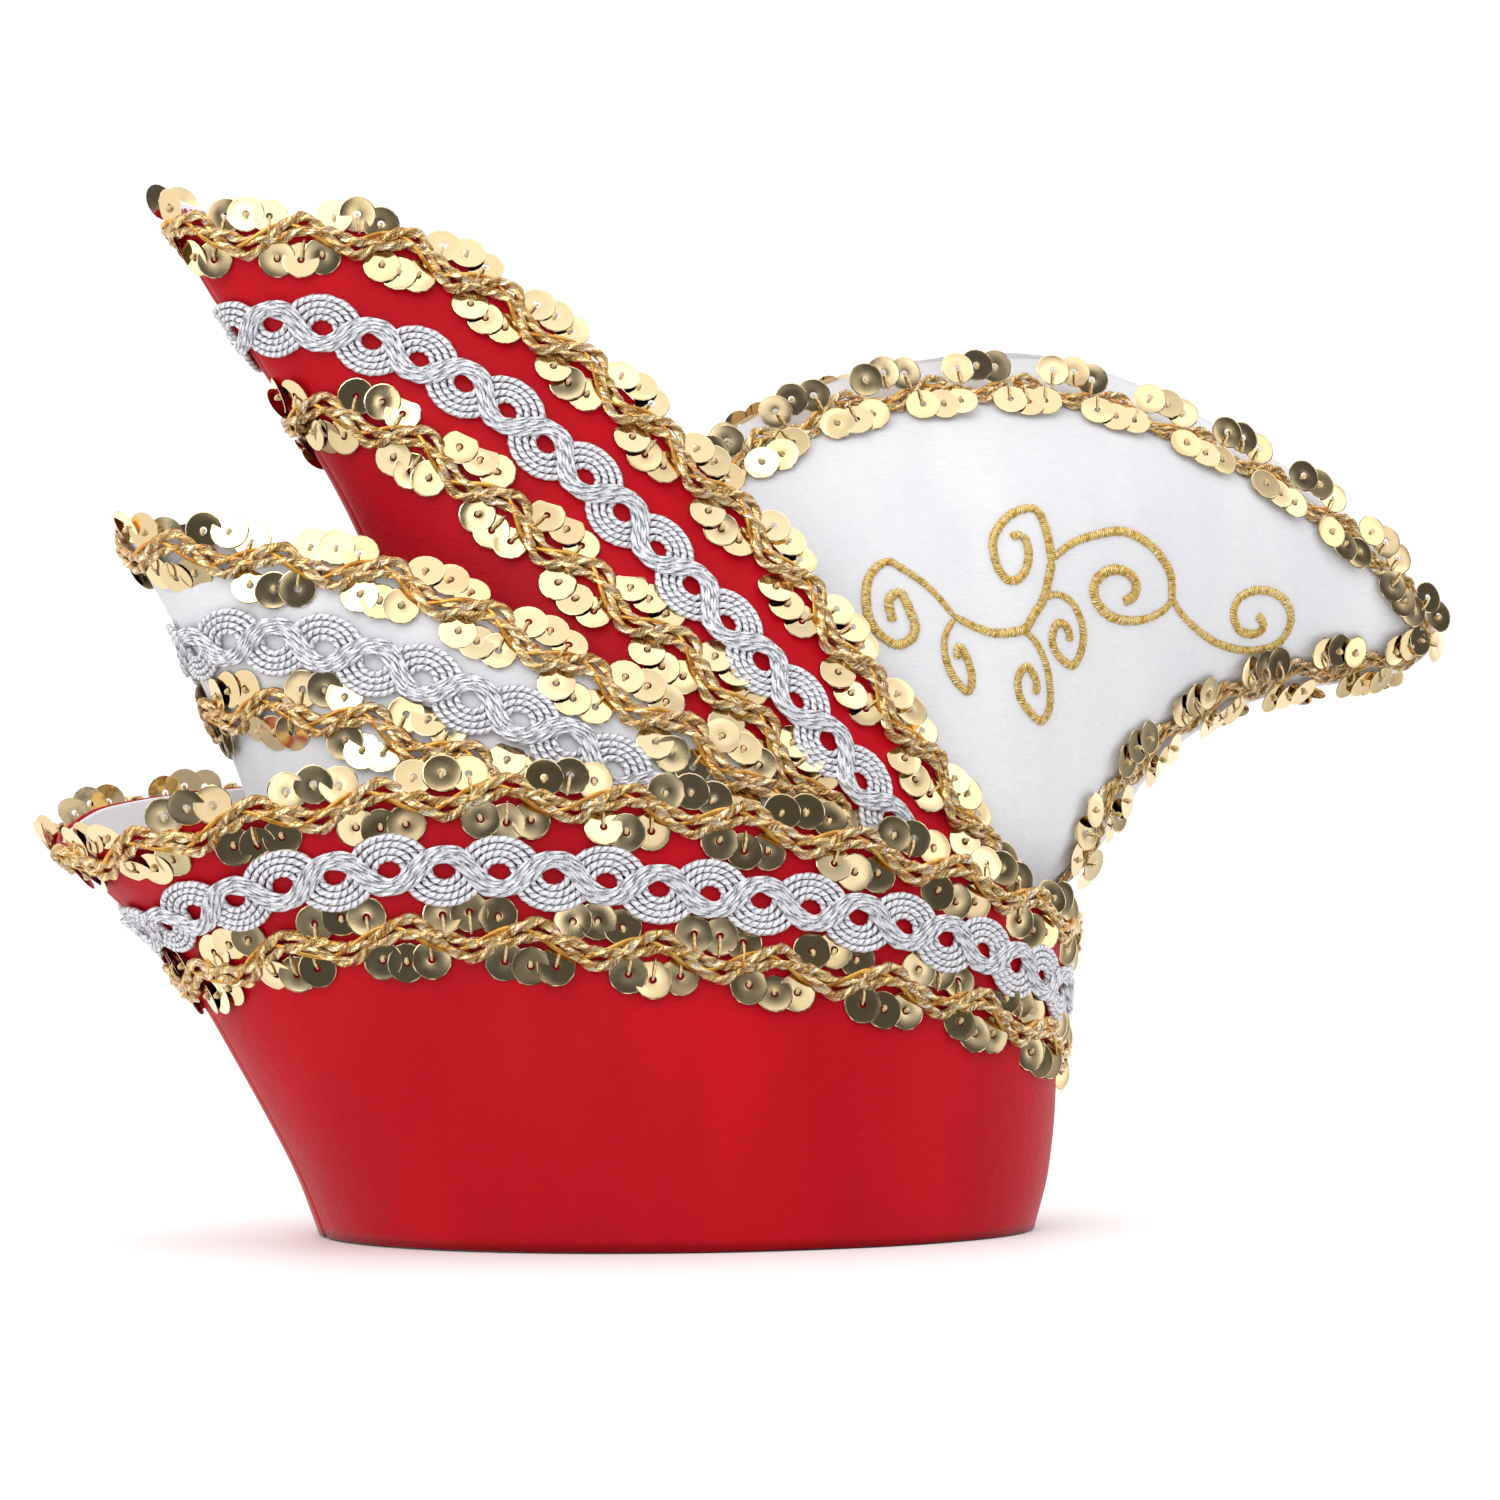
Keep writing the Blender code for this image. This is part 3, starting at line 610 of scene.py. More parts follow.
def satin_finish(name, colour, shade, roughness, twill, shine):
    """Satin: painted soft slow shading of folds, a fine slanting twill and a few specks of lint."""
    f = Finish(name)
    painted_fold_shade = f.noise(1.0, 2.0, 0.5, f.stretched((0.0, 0.25, 0.0), (34.0, 26.0, 11.0)))
    weave = f.noise(1.0, 2.0, 0.6, f.stretched((0.0, math.radians(38), 0.0), (twill * 0.22, twill * 0.5, twill)))
    # Painted shade: broad upright clouds blend the satin towards its shade colour, standing for the shading of soft
    # folds.
    base = f.blend(f.mask(painted_fold_shade, 0.34, 0.62), shade, colour)
    base = f.blend(f.between(weave, 0.0, 0.5), base, darker(shade, 0.72))
    lint = f.math("MULTIPLY", f.mask(f.noise(900.0, 1.0, 0.4), 0.80, 0.86), 0.3)
    return f.done(f.blend(lint, base, tuple(min(1.0, c * 1.4 + 0.05) for c in colour)),
                  f.between(weave, roughness - 0.06, roughness + 0.12),
                  f.relief(weave, 0.10, f.relief(f.noise(120.0, 3.0, 0.55), 0.30)),
                  Sheen_Weight=shine * 0.4, Sheen_Roughness=0.4, Specular_IOR_Level=shine, Sheen_Tint=(*colour, 1.0))


def lining_finish(name, colour):
    """Smooth felt with fine pores."""
    f = Finish(name)
    pore = f.noise(650.0, 2.0, 0.5)
    return f.done(f.blend(f.noise(30.0, 3.0), darker(colour, 0.92), colour), f.between(pore, 0.55, 0.72),
                  f.relief(pore, 0.12, f.relief(f.noise(90.0, 2.0), 0.4)), Sheen_Weight=0.2, Specular_IOR_Level=0.3)


def foil_rope_finish(name, light, warm, deep):
    """Twisted foil: white and cream glints, rose-brown shadows between the strands."""
    f = Finish(name)
    wave = f.strands(FOIL_PLY, FOIL_TWIST)
    fine = f.strands(FOIL_PLY * 3, FOIL_TWIST * 2)
    mark = f.marks()
    turn = f.math("SUBTRACT", f.math("ARCTAN2", mark[1], mark[0]),
                  f.math("MULTIPLY", mark[2], 2 * math.pi / FOIL_TWIST))
    cells, tint = f.patches(f.math("MULTIPLY", turn, 1.9), f.math("MULTIPLY", mark[2], 0.95))
    # Painted highlight and shadow: each patch of foil gets a tone from rose-brown deep up to a white glint.
    tone = f.ramp(tint[0], (0.12, deep), (0.28, warm), (0.48, light), (0.80, light), (0.88, (1.0, 0.97, 0.88)))
    # Painted shadow: the colour darkens towards deep between the wound strands.
    return f.done(f.blend(f.math("POWER", wave, 0.6), f.blend(0.75, tone, deep), tone), f.between(tint[1], 0.10, 0.40),
                  f.relief(cells, 0.34, f.relief(fine, 0.08, f.relief(wave, 0.40))),
                  Metallic=0.72, Specular_IOR_Level=0.8)


def foil_strand_finish(name, colour, deep):
    """Flat amber foil."""
    f = Finish(name)
    patch = f.noise(260.0, 2.0, 0.5)
    return f.done(f.blend(f.mask(patch, 0.35, 0.65), deep, colour), f.between(patch, 0.18, 0.40),
                  f.relief(f.noise(700.0, 2.0), 0.12), Metallic=0.8)


def sequin_finish(name, light, deep):
    """Thin mirror-like gold foil, each sequin a shade of its own, with fine scratches."""
    f = Finish(name)
    return f.done(f.blend(f.marks("lot")[0], deep, light), f.between(f.noise(420.0, 3.0, 0.6), 0.04, 0.12),
                  f.relief(f.noise(90.0, 2.0), 0.04), Metallic=1.0)


def silver_gimp_finish(name, light, deep, pitch, metal, painted_shade_share):
    """Pale gimp: small notches of painted shade where the winding turns under, and painted silver glints."""
    f = Finish(name)
    wave = f.strands(2, pitch)
    fleck = f.noise(1300.0, 2.0, 0.6)
    glint = f.node("ShaderNodeTexVoronoi", {"Vector": f.place(), "Scale": 1300.0}).outputs["Color"]
    painted_notch_shade = f.math("ADD", wave, f.math("MULTIPLY", f.math("SUBTRACT", fleck, 0.5), 1.3))
    # Painted glints: cells of the silver are lighter or darker.
    bright = f.blend(f.node("ShaderNodeSeparateColor", {0: glint}).outputs[0], darker(light, 0.84), light)
    # Painted shade: the deep colour fills the notches where the winding turns under.
    return f.done(f.blend(f.mask(painted_notch_shade, painted_shade_share, painted_shade_share + 0.16), deep, bright), f.between(glint, 0.22, 0.58),
                  f.relief(glint, 0.18, f.relief(wave, 0.14)), Metallic=metal)


def embroidery_finish(name, light, deep):
    """Slanting satin stitches of metallic thread, with painted glints and painted shade between the stitches."""
    f = Finish(name)
    mark = f.marks()
    slant = f.math("ADD", mark[2], f.math("MULTIPLY", mark[0], 0.45))
    stitch = f.math("MULTIPLY_ADD", f.math("SINE", f.math("MULTIPLY", slant, 2 * math.pi / 0.7)), 0.5, 0.5)
    cells, tint = f.patches(f.math("MULTIPLY", mark[0], 1.3), f.math("MULTIPLY", slant, 1.5))
    # Painted highlight: the top stop of the ramp is a white-gold glint on some patches.
    tone = f.ramp(tint[0], (0.10, deep), (0.38, light), (0.74, light), (0.92, (1.0, 0.90, 0.60)))
    # Painted shade: the colour darkens towards deep between the stitches.
    return f.done(f.blend(f.math("POWER", stitch, 0.6), f.blend(0.6, tone, deep), tone), f.between(tint[1], 0.20, 0.46),
                  f.relief(cells, 0.22, f.relief(stitch, 0.30)), Metallic=0.6)


def thread_finish(name, colour, shine=0.0):
    """Two-ply sewing thread, with painted shade between the plies."""
    f = Finish(name)
    wave = f.strands(2, 1.4)
    fleck = f.noise(700.0, 2.0)
    dark = darker(colour, 0.55)
    # Painted shade: the thread darkens between its plies.
    return f.done(f.blend(f.between(wave, 0.1, 1.0), dark, f.blend(fleck, dark, colour)),
                  f.between(fleck, 0.35, 0.65), f.relief(wave, 0.15), Metallic=shine, Sheen_Weight=0.1)


def floor_finish(name, colour):
    """Pale studio paper."""
    f = Finish(name)
    mottle = f.noise(3.0, 3.0)
    return f.done(f.blend(mottle, darker(colour, 0.985), colour), f.between(mottle, 0.55, 0.65))


def finish(name, make, *args):
    """A finish, made once."""
    return bpy.data.materials.get(name) or make(name, *args)


# ---------------------------------------------------------------- the cap's surfaces

LAYERS = {
    "cuff": Layer(CUFF_LEVELS, CUFF_TRIM, CUFF_EDGE, 0.0),
    "white": Layer(WHITE_LEVELS, WHITE_TRIM, WHITE_EDGE, 8.0),
    "red": Layer(RED_LEVELS, RED_TRIM, RED_EDGE, 12.0),
}
CROWN = Crown()
WHOLE = math.pi - 0.01
# Where each trim and braid lies: its layer, its line on the near side, the edge that it follows on the far side or
# None, how far it goes round from the prow on either side, and the layers that cover it.
STRIPS = {
    "cuff_edge_trim": ("cuff", CUFF_TRIM, CUFF_EDGE, WHOLE, ()),
    "cuff_lower_trim": ("cuff", CUFF_LOWER, None, WHOLE, ()),
    "white_edge_trim": ("white", WHITE_TRIM, WHITE_EDGE, 1.9, ("cuff",)),
    "white_lower_trim": ("white", WHITE_LOWER, None, 1.9, ("cuff",)),
    "red_edge_trim": ("red", RED_TRIM, RED_EDGE, 2.6, ("cuff", "white")),
    "red_lower_trim": ("red", RED_LOWER, None, 2.2, ("cuff", "white")),
    "cuff_braid": ("cuff", CUFF_BRAID, None, WHOLE, ()),
    "white_braid": ("white", WHITE_BRAID, None, 1.9, ("cuff",)),
    "red_braid": ("red", RED_BRAID, None, 2.4, ("cuff", "white")),
}
# Each gold trim's group repeat as a share of the usual one, and the share of a repeat before its first group.
GOLD_TRIMS = {
    "cuff_edge_trim": (0.97, 0.318),
    "cuff_lower_trim": (0.97, 0.97),
    "white_edge_trim": (0.89, 0.821),
    "white_lower_trim": (0.86, 0.769),
    "red_edge_trim": (0.875, 0.026),
    "red_lower_trim": (0.90, 0.345),
    "crown_trim_near": (0.87, 0.253),
    "crown_trim_far": (0.87, 0.6),
}
# Millimetres before the first loop of each braid.
SILVER_BRAIDS = {"cuff_braid": 8.4, "white_braid": 0.0, "red_braid": 0.0}


def covered(points, clips, play):
    """True where a point lies below the edge of one of the layers that cover it."""
    hidden = np.zeros(points.shape[:-1], bool)
    for clip in clips:
        near_top = np.interp(points[..., 0], *dense(LAYERS[clip].near, 1)) + TRIM_DROP
        far_top = np.interp(points[..., 0], *dense(LAYERS[clip].far, 1))
        hidden |= points[..., 2] < np.where(points[..., 1] < 0, near_top, far_top) + play
    return hidden


def layer_ribbon(layer_name, near, far, reach, clips):
    """The strip of a layer under a trim, cut where the layer outside covers its middle."""
    layer = LAYERS[layer_name]
    u = np.linspace(reach, -reach, 1200)
    if far:
        z = layer.between_sides(u, near, tuple((x, z - TRIM_DROP) for x, z in far))
    else:
        z = layer.height(u, dense(near, 1))
    shown = ~covered(layer.point(u, z), clips, -6.0)
    first = last = len(u) // 2
    while first > 0 and shown[first - 1]:
        first -= 1
    while last < len(u) - 1 and shown[last + 1]:
        last += 1
    return Ribbon(layer, u[first:last + 1], z[first:last + 1])


@functools.cache
def ribbon_for(node):
    """The strip that a trim or braid lies on, made once."""
    if node in STRIPS:
        return layer_ribbon(*STRIPS[node])
    path = smooth_path(CROWN_TRIM, 700)
    return Ribbon(CROWN, *CROWN.solve(path[:, 0], path[:, 1]), mirror=node == "crown_trim_far", stands=True)


# ---------------------------------------------------------------- cloth

def round_the_cap(count):
    """Stations round a layer, closer together at the two seams."""
    t = np.arange(count) / count * 2 - 1
    return math.pi * (0.8 * np.sign(t) * (0.5 - 0.5 * np.cos(math.pi * np.abs(t))) + 0.2 * t)


def seam_groove(p, depth=0.7, width=1.3):
    """How far the cloth sinks at the front and back seams."""
    return -depth * np.exp(-(p[..., 1] / width) ** 2)


def sew_shell(node, layer, foot, outer, wall, rise, mat, slot):
    """One wall of cloth with a rounded top edge."""
    u = round_the_cap(SHELL_STATIONS)
    top = layer.edge(u) + rise
    r = wall / 2
    up = np.linspace(0, 1, SHELL_ROWS)
    # Share of the height, rise above it and depth below the layer's surface, up the outside and down the inside.
    section = ([(f, 0.0, outer) for f in up]
               + [(1.0, r * math.sin(a), outer + r - r * math.cos(a)) for a in (0.6, 1.2, 1.8, 2.5)]
               + [(f, 0.0, outer + wall) for f in up[::-2]])
    points = []
    for f, dz, depth in section:
        z = foot + (top - r - foot) * f
        p = layer.skin(u, z)
        p = p + layer.normal(u, z) * (seam_groove(p) - depth)[..., None]
        p[:, 2] = z + dz
        points.append(p)
    new_piece(node + "_cloth", np.vstack(points), ring_quads(len(section), len(u), shut=True), mat, slot, node)


def sew_crown(mat, slot):
    """The crown's wall: an outer skin shut at the tip and an inner skin shut before it."""
    u = round_the_cap(CROWN_STATIONS)
    count = len(u)
    outside, inside = ([np.full(count, w) for w in np.linspace(0, reach, rows)]
                       for reach, rows in ((1.0, CROWN_ROWS_OUT), (TIP_SOLID, CROWN_ROWS_IN)))
    points = []
    for w in outside:
        p = CROWN.skin(u, w)
        back = 1 / (1 + np.exp(-(np.abs(u) - 2.2) * 8))
        points.append(p + CROWN.flat_normal(u, w) * (seam_groove(p) * back)[..., None])
    points.append(points[-1].mean(0, keepdims=True))
    for w in inside:
        p = CROWN.point(u, w, CROWN_WALL)
        points.append(p + CROWN.flat_normal(u, w) * soft_wave(p)[..., None] * 0.8)
    points.append(points[-1].mean(0, keepdims=True))
    second = len(outside) * count + 1
    last = second + len(inside) * count
    j = np.arange(count)
    k = (j + 1) % count
    quads = [ring_quads(len(outside), count), fan(second - 1, second - 1 - count, count),
             ring_quads(len(inside), count, second)[:, ::-1], fan(last, last - count, count, True),
             np.stack([second + j, second + k, k, j], -1)]
    new_piece("crown_cloth", np.vstack(points), np.vstack(quads), mat, slot, "crown")


def edge_stitches(name, layer_name, depth, low, reach, mat, slot):
    """Red zigzag thread just below the top edge, on the inside of a lining."""
    layer = LAYERS[layer_name]
    stations = np.linspace(-reach, reach, 5000)
    top = layer.edge(stations)
    run = run_along(layer.point(stations, top))
    s = np.arange(0, run[-1], ZIGZAG / 6)
    u = np.interp(s, run, stations)
    z = np.interp(u, stations, top) - ZIGZAG_DROP - low * np.abs(((s / ZIGZAG) % 1) * 2 - 1)
    n = layer.normal(u, z)
    line = layer.skin(u, z) - n * depth
    line[:, 2] = z
    heap = Heap()
    heap.tube(line, -n, 0.6, sides=6)
    heap.build(name, mat, slot)


# ---------------------------------------------------------------- gold trims

def on_crown(node):
    """True for the crown's trims."""
    return node.startswith("crown")


def gold_cords(node, trim, mat, amber):
    """The two foil ropes that wave along a trim, one crossing the other, and a flat foil strand between them."""
    ribbon = ribbon_for(node)
    repeat, shift = GOLD_TRIMS[node]
    thick, rise = trim.cord / MM, ROPE_RISE
    if on_crown(node):
        thick, rise = thick * CROWN_ROPE_SHARE, CROWN_ROPE_RISE
    s = np.arange(0.5, ribbon.length - 0.5, 0.68)
    phase = 2 * math.pi * (s / (trim.repeat / MM * repeat) + shift)
    reach = trim_reach(node, s)
    ropes, strand = Heap(), Heap()
    for k, (swing, lag) in enumerate(ROPE_SWINGS):
        t = swing * np.cos(phase - lag) * reach + 0.3 * np.sin(phase * 3 + 2 * k)
        swap = 1.1 * np.sin(phase) * np.cos(phase) * (1 if k else -1)
        line, up = ribbon.lift(s, t, rise + swap * 0.5 + 0.12 * np.sin(s / 1.7))
        ropes.tube(line, up, thick / 2 * (1 + 0.06 * np.sin(s / 2.3 + k)), sides=9, lobes=FOIL_PLY, pitch=FOIL_TWIST,
                   depth=0.26)
    line, up = ribbon.lift(s, 3.0 * np.cos(phase + 0.9) * reach, rise + 0.5 + 0.5 * np.sin(phase * 2 + 0.4))
    strand.tube(line, up, 0.62, sides=5, flat=0.45)
    strand.build(node + "_strand", amber, "gold_trim")
    ropes.build(node + "_cords", mat, "gold_trim", node)


def back_tail(mat):
    """The loose end of the gold trim: its foil strands hang down the back seam and draw together."""
    heap = Heap()
    layer = LAYERS["cuff"]
    z = np.linspace(TAIL_TOP, TAIL_END, 44)
    k = (z[0] - z) / (z[0] - z[-1])
    for j in range(TAIL_STRANDS):
        y = (j - 2) * 1.45 * (1 - 0.62 * k) + 0.3 * np.sin(z / 2.0 + j * 1.7)
        u = math.pi - np.abs(np.arcsin(np.clip(np.abs(y) / 76, 0, 1)) ** (BACK_SQUARENESS / 2))
        n = layer.normal(u, z)
        line = layer.skin(u, z) + n * (1.6 + 0.5 * np.sin(z / 1.6 + j * 2.1))[:, None]
        line[:, 1] = y
        heap.tube(line, n, 0.85, sides=8, lobes=FOIL_PLY, pitch=FOIL_TWIST, depth=0.16)
    heap.build("back_trim_tail_strands", mat, "gold_trim", "back_trim_tail")


def trim_reach(node, s):
    """How wide the trim lies: it narrows round the horn's tip."""
    x = ribbon_for(node).at(s, np.zeros_like(s))[0][:, 0]
    return np.interp(x, (195, 228), (1.0, 0.62)) if on_crown(node) else np.ones_like(s)


def disc_shape(radius, hole, sides=18):
    """A dished sequin with a hole."""
    rings = ((hole, 0.01), (hole + 0.32, 0.0), (radius - 0.34, 0.015), (radius - 0.24, 0.02), (radius, -0.05),
             (hole, -0.16))
    theta = np.arange(sides) / sides * 2 * math.pi
    points = np.vstack([np.stack([r * np.cos(theta), r * np.sin(theta), 0 * theta + h], -1) for r, h in rings])
    return points, ring_quads(len(rings), sides, shut=True)


def sequin_places(node, trim, rng):
    """Where each sequin of a trim lies: along, across and which side."""
    length = ribbon_for(node).length
    share, shift = GOLD_TRIMS[node]
    repeat, pitch = trim.repeat / MM * share, trim.pitch / MM * share
    places = []
    for k in range(-2, int(length / repeat * 2) + 4):
        side = 1 if k % 2 else -1
        for j in (-1, 0, 1):
            s = -shift * repeat + repeat * (0.5 * k) + j * pitch + rng.normal(0, 0.18)
            bow = 0.5 if j == 0 else -0.35
            out = (1.4 if side > 0 else 0.9) if on_crown(node) else 0.0
            t = side * (SEQUIN_ROW + out + bow + rng.normal(0, 0.22))
            if 3.0 < s < length - 3.0:
                places.append((s, t, side))
    return np.array(places)


def sequin_facing(node, z, n):
    """Turn a sequin's face a little from the ridge and the prow towards the side."""
    if on_crown(node):
        return unit(z * np.array([0.75, 1, 0.55 if z[2] > 0 else 0.7]))
    return unit(z * np.array([1 - 0.45 * np.clip((abs(n[1]) - 0.2) / 0.3, 0, 1), 1, 1]))


def sew_sequins(name, nodes, trim, mat, thread_mat, rng):
    """The sequins of some trims and the threads that hold them."""
    shape, faces = disc_shape(trim.sequin / 2 / MM, trim.hole / 2 / MM)
    discs, threads = Heap(), Heap()
    for node in nodes:
        ribbon = ribbon_for(node)
        s, t, side = sequin_places(node, trim, rng).T
        t = t * trim_reach(node, s)
        base, n = ribbon.at(s, t)
        along = unit(ribbon.at(s + 0.5, t)[0] - ribbon.at(s - 0.5, t)[0])
        across = unit(np.cross(n, along))
        across *= np.sign((across * (ribbon.at(s, t + 0.5)[0] - base)).sum(-1, keepdims=True))
        way = -1.0 if node == "crown_trim_far" else 1.0
        lift = CROWN_SEQUIN_LIFT if on_crown(node) else SEQUIN_LIFT
        for i in np.flatnonzero(~covered(base, STRIPS[node][-1] if node in STRIPS else (), 0.5)):
            lean = SEQUIN_LEAN * way + rng.normal(0, math.radians(2.5))
            roll = rng.normal(0, math.radians(6.5)) + side[i] * math.radians(2.0)
            tone = rng.random(3)
            x = along[i] * math.cos(lean) + n[i] * math.sin(lean)
            z = unit(n[i] * math.cos(lean) - along[i] * math.sin(lean) + across[i] * math.sin(roll)
                     + np.array([0, 0, SEQUIN_TILT_UP]))
            z = sequin_facing(node, z, n[i])
            y = unit(np.cross(z, x))
            x = np.cross(y, z)
            centre = base[i] + n[i] * (lift + rng.normal(0, 0.05))
            discs.add(centre + shape[:, :1] * x + shape[:, 1:2] * y + shape[:, 2:] * z, faces,
                      np.tile(tone, (len(shape), 1)))
            inward = -y * np.sign((y * across[i]).sum()) * np.sign(t[i])
            # A long strand runs to the cords; a short thread only wraps the hole's rim.
            long = rng.random() < LONG_THREADS
            far, loose, thick, climb = (5.2, 0.5, 0.36, 0.8) if long else (1.1, 0.25, 0.58, 0.0)
            k = np.linspace(0, 1, 7)[:, None]
            sway = x * rng.normal(0, loose)
            line = (centre - z * 0.5 + inward * (k * far) + sway * k
                    + z * (1.35 * np.sin(np.clip(k * 1.1 + 0.02, 0, 1) * math.pi) ** 0.6 + climb * k))
            threads.tube(line, z, thick * (1 - 0.22 * k[:, 0]), sides=6)
    discs.build(name, mat, "gold_trim", mark_name="lot", crisp=28)
    threads.build(name.replace("sequins", "sequin_threads"), thread_mat, "gold_trim")


# ---------------------------------------------------------------- silver braid

def lay_braid(node, braid, arcs_mat, bundle_mat):
    """A band of four cords in half circles, up and down in turn, and a flat bundle across where they turn."""
    ribbon = ribbon_for(node)
    repeat, cord = braid.repeat / MM, braid.cord / MM
    bow = repeat / 4
    gap = cord * 1.22
    squash = (braid.width / MM - cord) / 2 / (bow + 1.5 * gap)
    arcs, bundle = Heap(), Heap()
    start = 1.5 + bow * 1.5 + SILVER_BRAIDS[node]
    theta = np.arange(0, math.pi, 0.131)
    loop = np.arange(-1, int((ribbon.length - start) / (2 * bow)))[:, None]
    way = 1 - 2 * (loop % 2)
    for k in range(LOOP_CORDS):
        r = bow + (k - 1.5) * gap * way
        s = (start + loop * 2 * bow - r * np.cos(theta)).ravel()
        t = (way * r * np.sin(theta) * squash).ravel()
        inside = (s > 0.5) & (s < ribbon.length - 0.5)
        s, t = s[inside], t[inside]
        line, up = ribbon.lift(s, t, 1.0 + 0.45 * np.clip(np.abs(t) / 4.5, 0, 1) + 0.10 * (k % 2))
        arcs.tube(line, up, cord / 2, sides=6, lobes=2, pitch=GIMP_TWIST, depth=0.14, start=k * 0.8)
    s = np.arange(1.0, ribbon.length - 1.0, 0.75)
    phase = 2 * math.pi * (s - start) / repeat
    t = -BUNDLE_SWING * (np.cos(phase) * (1 - 0.10 * np.cos(2 * phase)))
    slope = np.gradient(t, s)
    side_s, side_t = -slope / np.hypot(1, slope), 1 / np.hypot(1, slope)
    knob = np.cos(phase) ** 6
    for k in range(BUNDLE_STRANDS):
        off = (k - 2.5) * (0.76 - 0.12 * knob) + 0.14 * np.sin(phase * 3 + k * 1.9)
        high = 2.50 + 0.16 * np.sin(2 * math.pi * s / 6.0 + k * 2.4) - 0.12 * abs(k - 2.5) + 0.25 * knob
        line, up = ribbon.lift(s + side_s * off, t + side_t * off, high)
        bundle.tube(line, up, 0.54, sides=5, lobes=2, pitch=BUNDLE_TWIST, depth=0.12)
    bundle.build(node + "_bundle", bundle_mat, "silver_braid")
    arcs.build(node + "_loops", arcs_mat, "silver_braid", node)


# ---------------------------------------------------------------- embroidery

# Strokes of the scroll on the crown, side view: name, width where it starts and where it ends, points x, z.
SCROLLS = (
    ("far_left_curl", 1.5, 2.7, (
        (62.1, 161), (56, 168.2), (49.2, 173.5), (45.6, 175.3), (41.3, 172.4), (38.8, 167.6), (38.1, 160.5),
        (40.1, 155.5), (44.9, 152.5), (49.6, 154.8), (50.6, 158.6), (49.6, 161.8), (48, 166.3), (45.8, 166.2),
        (44.1, 163.7), (44.6, 158.6))),
    ("left_drop", 1.5, 2.4, (
        (62, 160.2), (59, 155.2), (59, 149.1), (61.6, 143.9), (65.4, 141.2), (66.8, 144.2), (66.1, 148.1),
        (64.1, 152.3), (62.5, 152.2), (62.7, 149.5))),
    ("stem", 2.0, 2.6, (
        (62.1, 161), (67.2, 158.9), (73.1, 157.3), (78.9, 157.6), (84, 159), (86.8, 162.9), (89.9, 167.2),
        (91.8, 172.8), (93.1, 177.8))),
    ("top_curl", 2.6, 2.5, (
        (93.1, 177.8), (92.5, 186.1), (90.8, 191.8), (87.6, 192.5), (81.4, 189.5), (76.2, 183), (76, 176.4),
        (78, 172.6), (80.6, 171.7), (83.9, 173.6), (86, 178.4), (85.7, 183.3), (83.7, 184.6), (81.6, 183.6))),
    ("middle_curl", 1.7, 2.4, (
        (90.7, 167.8), (94.7, 168.9), (99.4, 166.8), (102.8, 160.9), (102.8, 154.7), (99.8, 150), (94.6, 152.8),
        (92.8, 156.4), (93.7, 160.2), (96.1, 161.2), (98.2, 159.2), (98.7, 156.3))),
    ("low_curl", 1.7, 2.4, (
        (84, 158.2), (87.7, 155.2), (91, 149.6), (92.5, 143.6), (92.5, 138.1), (89.4, 134.6), (83.1, 139.5),
        (81.6, 145), (83.5, 148.3), (85.4, 148.4), (87.9, 144.6), (87.5, 141.4))),
    ("arch", 1.8, 2.7, (
        (93.8, 178.7), (98.9, 182.6), (105.8, 185.6), (117, 187.9), (126.4, 184.5), (132.8, 177.9), (134, 170.2))),
    ("arch_curl", 1.8, 3.0, (
        (134, 170.4), (131.3, 167.4), (125.7, 164.8), (119.2, 163.6), (112.4, 164.3), (107.5, 167.7), (106.7, 172.2),
        (110.3, 176.1), (116.2, 177.1), (120.6, 174.5), (120.3, 170.6), (116.6, 168.5))),
    ("far_right_curl", 1.8, 2.6, (
        (134, 171.5), (136.6, 168.2), (142.6, 164.3), (153.1, 160.3), (166.6, 159), (177.4, 161.4), (180.8, 167),
        (178.9, 172), (173.7, 175.1), (166.6, 175.6), (159.8, 172.9), (158.4, 168.2), (162.4, 164), (168.7, 163.7),
        (170.8, 166.2), (167.7, 168.9))),
)


def embroider(name, side, stitch, mat):
    """The scroll in raised satin stitch on one side of the crown."""
    heap = Heap()
    scale = stitch.width / MM / FULL_STROKE
    flip = np.array([1, -side, 1])
    for _, first, last, points in SCROLLS:
        path = smooth_path(points, 240)
        u, w = CROWN.solve(path[:, 0], path[:, 1])
        run = run_along(CROWN.skin(u, w))
        s = np.arange(0, run[-1], 0.35)
        u, w = np.interp(s, run, u), np.interp(s, run, w)
        n = CROWN.normal(u, w) * flip
        line = CROWN.skin(u, w) * flip + n * 0.25
        k = s / run[-1]
        wide = (first + (last - first) * np.clip(k * 2.2, 0, 1) ** 0.8) * scale
        wide = wide * np.clip(np.minimum(s, run[-1] - s) / 1.0 + 0.45, 0, 1)
        wide = wide * (1 + 0.05 * np.sin(s * 1.9 + len(points)))
        heap.tube(line, n, wide / 2, sides=8, lobes=2, pitch=1.3, depth=0.10, flat=0.66)
    heap.build(name, mat, "gold_trim")


# ---------------------------------------------------------------- settings

def colour(name, description, default):
    """A colour that a user may change."""
    return bpy.props.FloatVectorProperty(name=name, description=description, default=default, subtype="COLOR",
                                         size=3, min=0.0, max=1.0)


def length(name, description, default_mm):
    """A size that a user may change."""
    return bpy.props.FloatProperty(name=name, description=description, default=default_mm * MM, min=0.0,
                                   unit="LENGTH", precision=4)


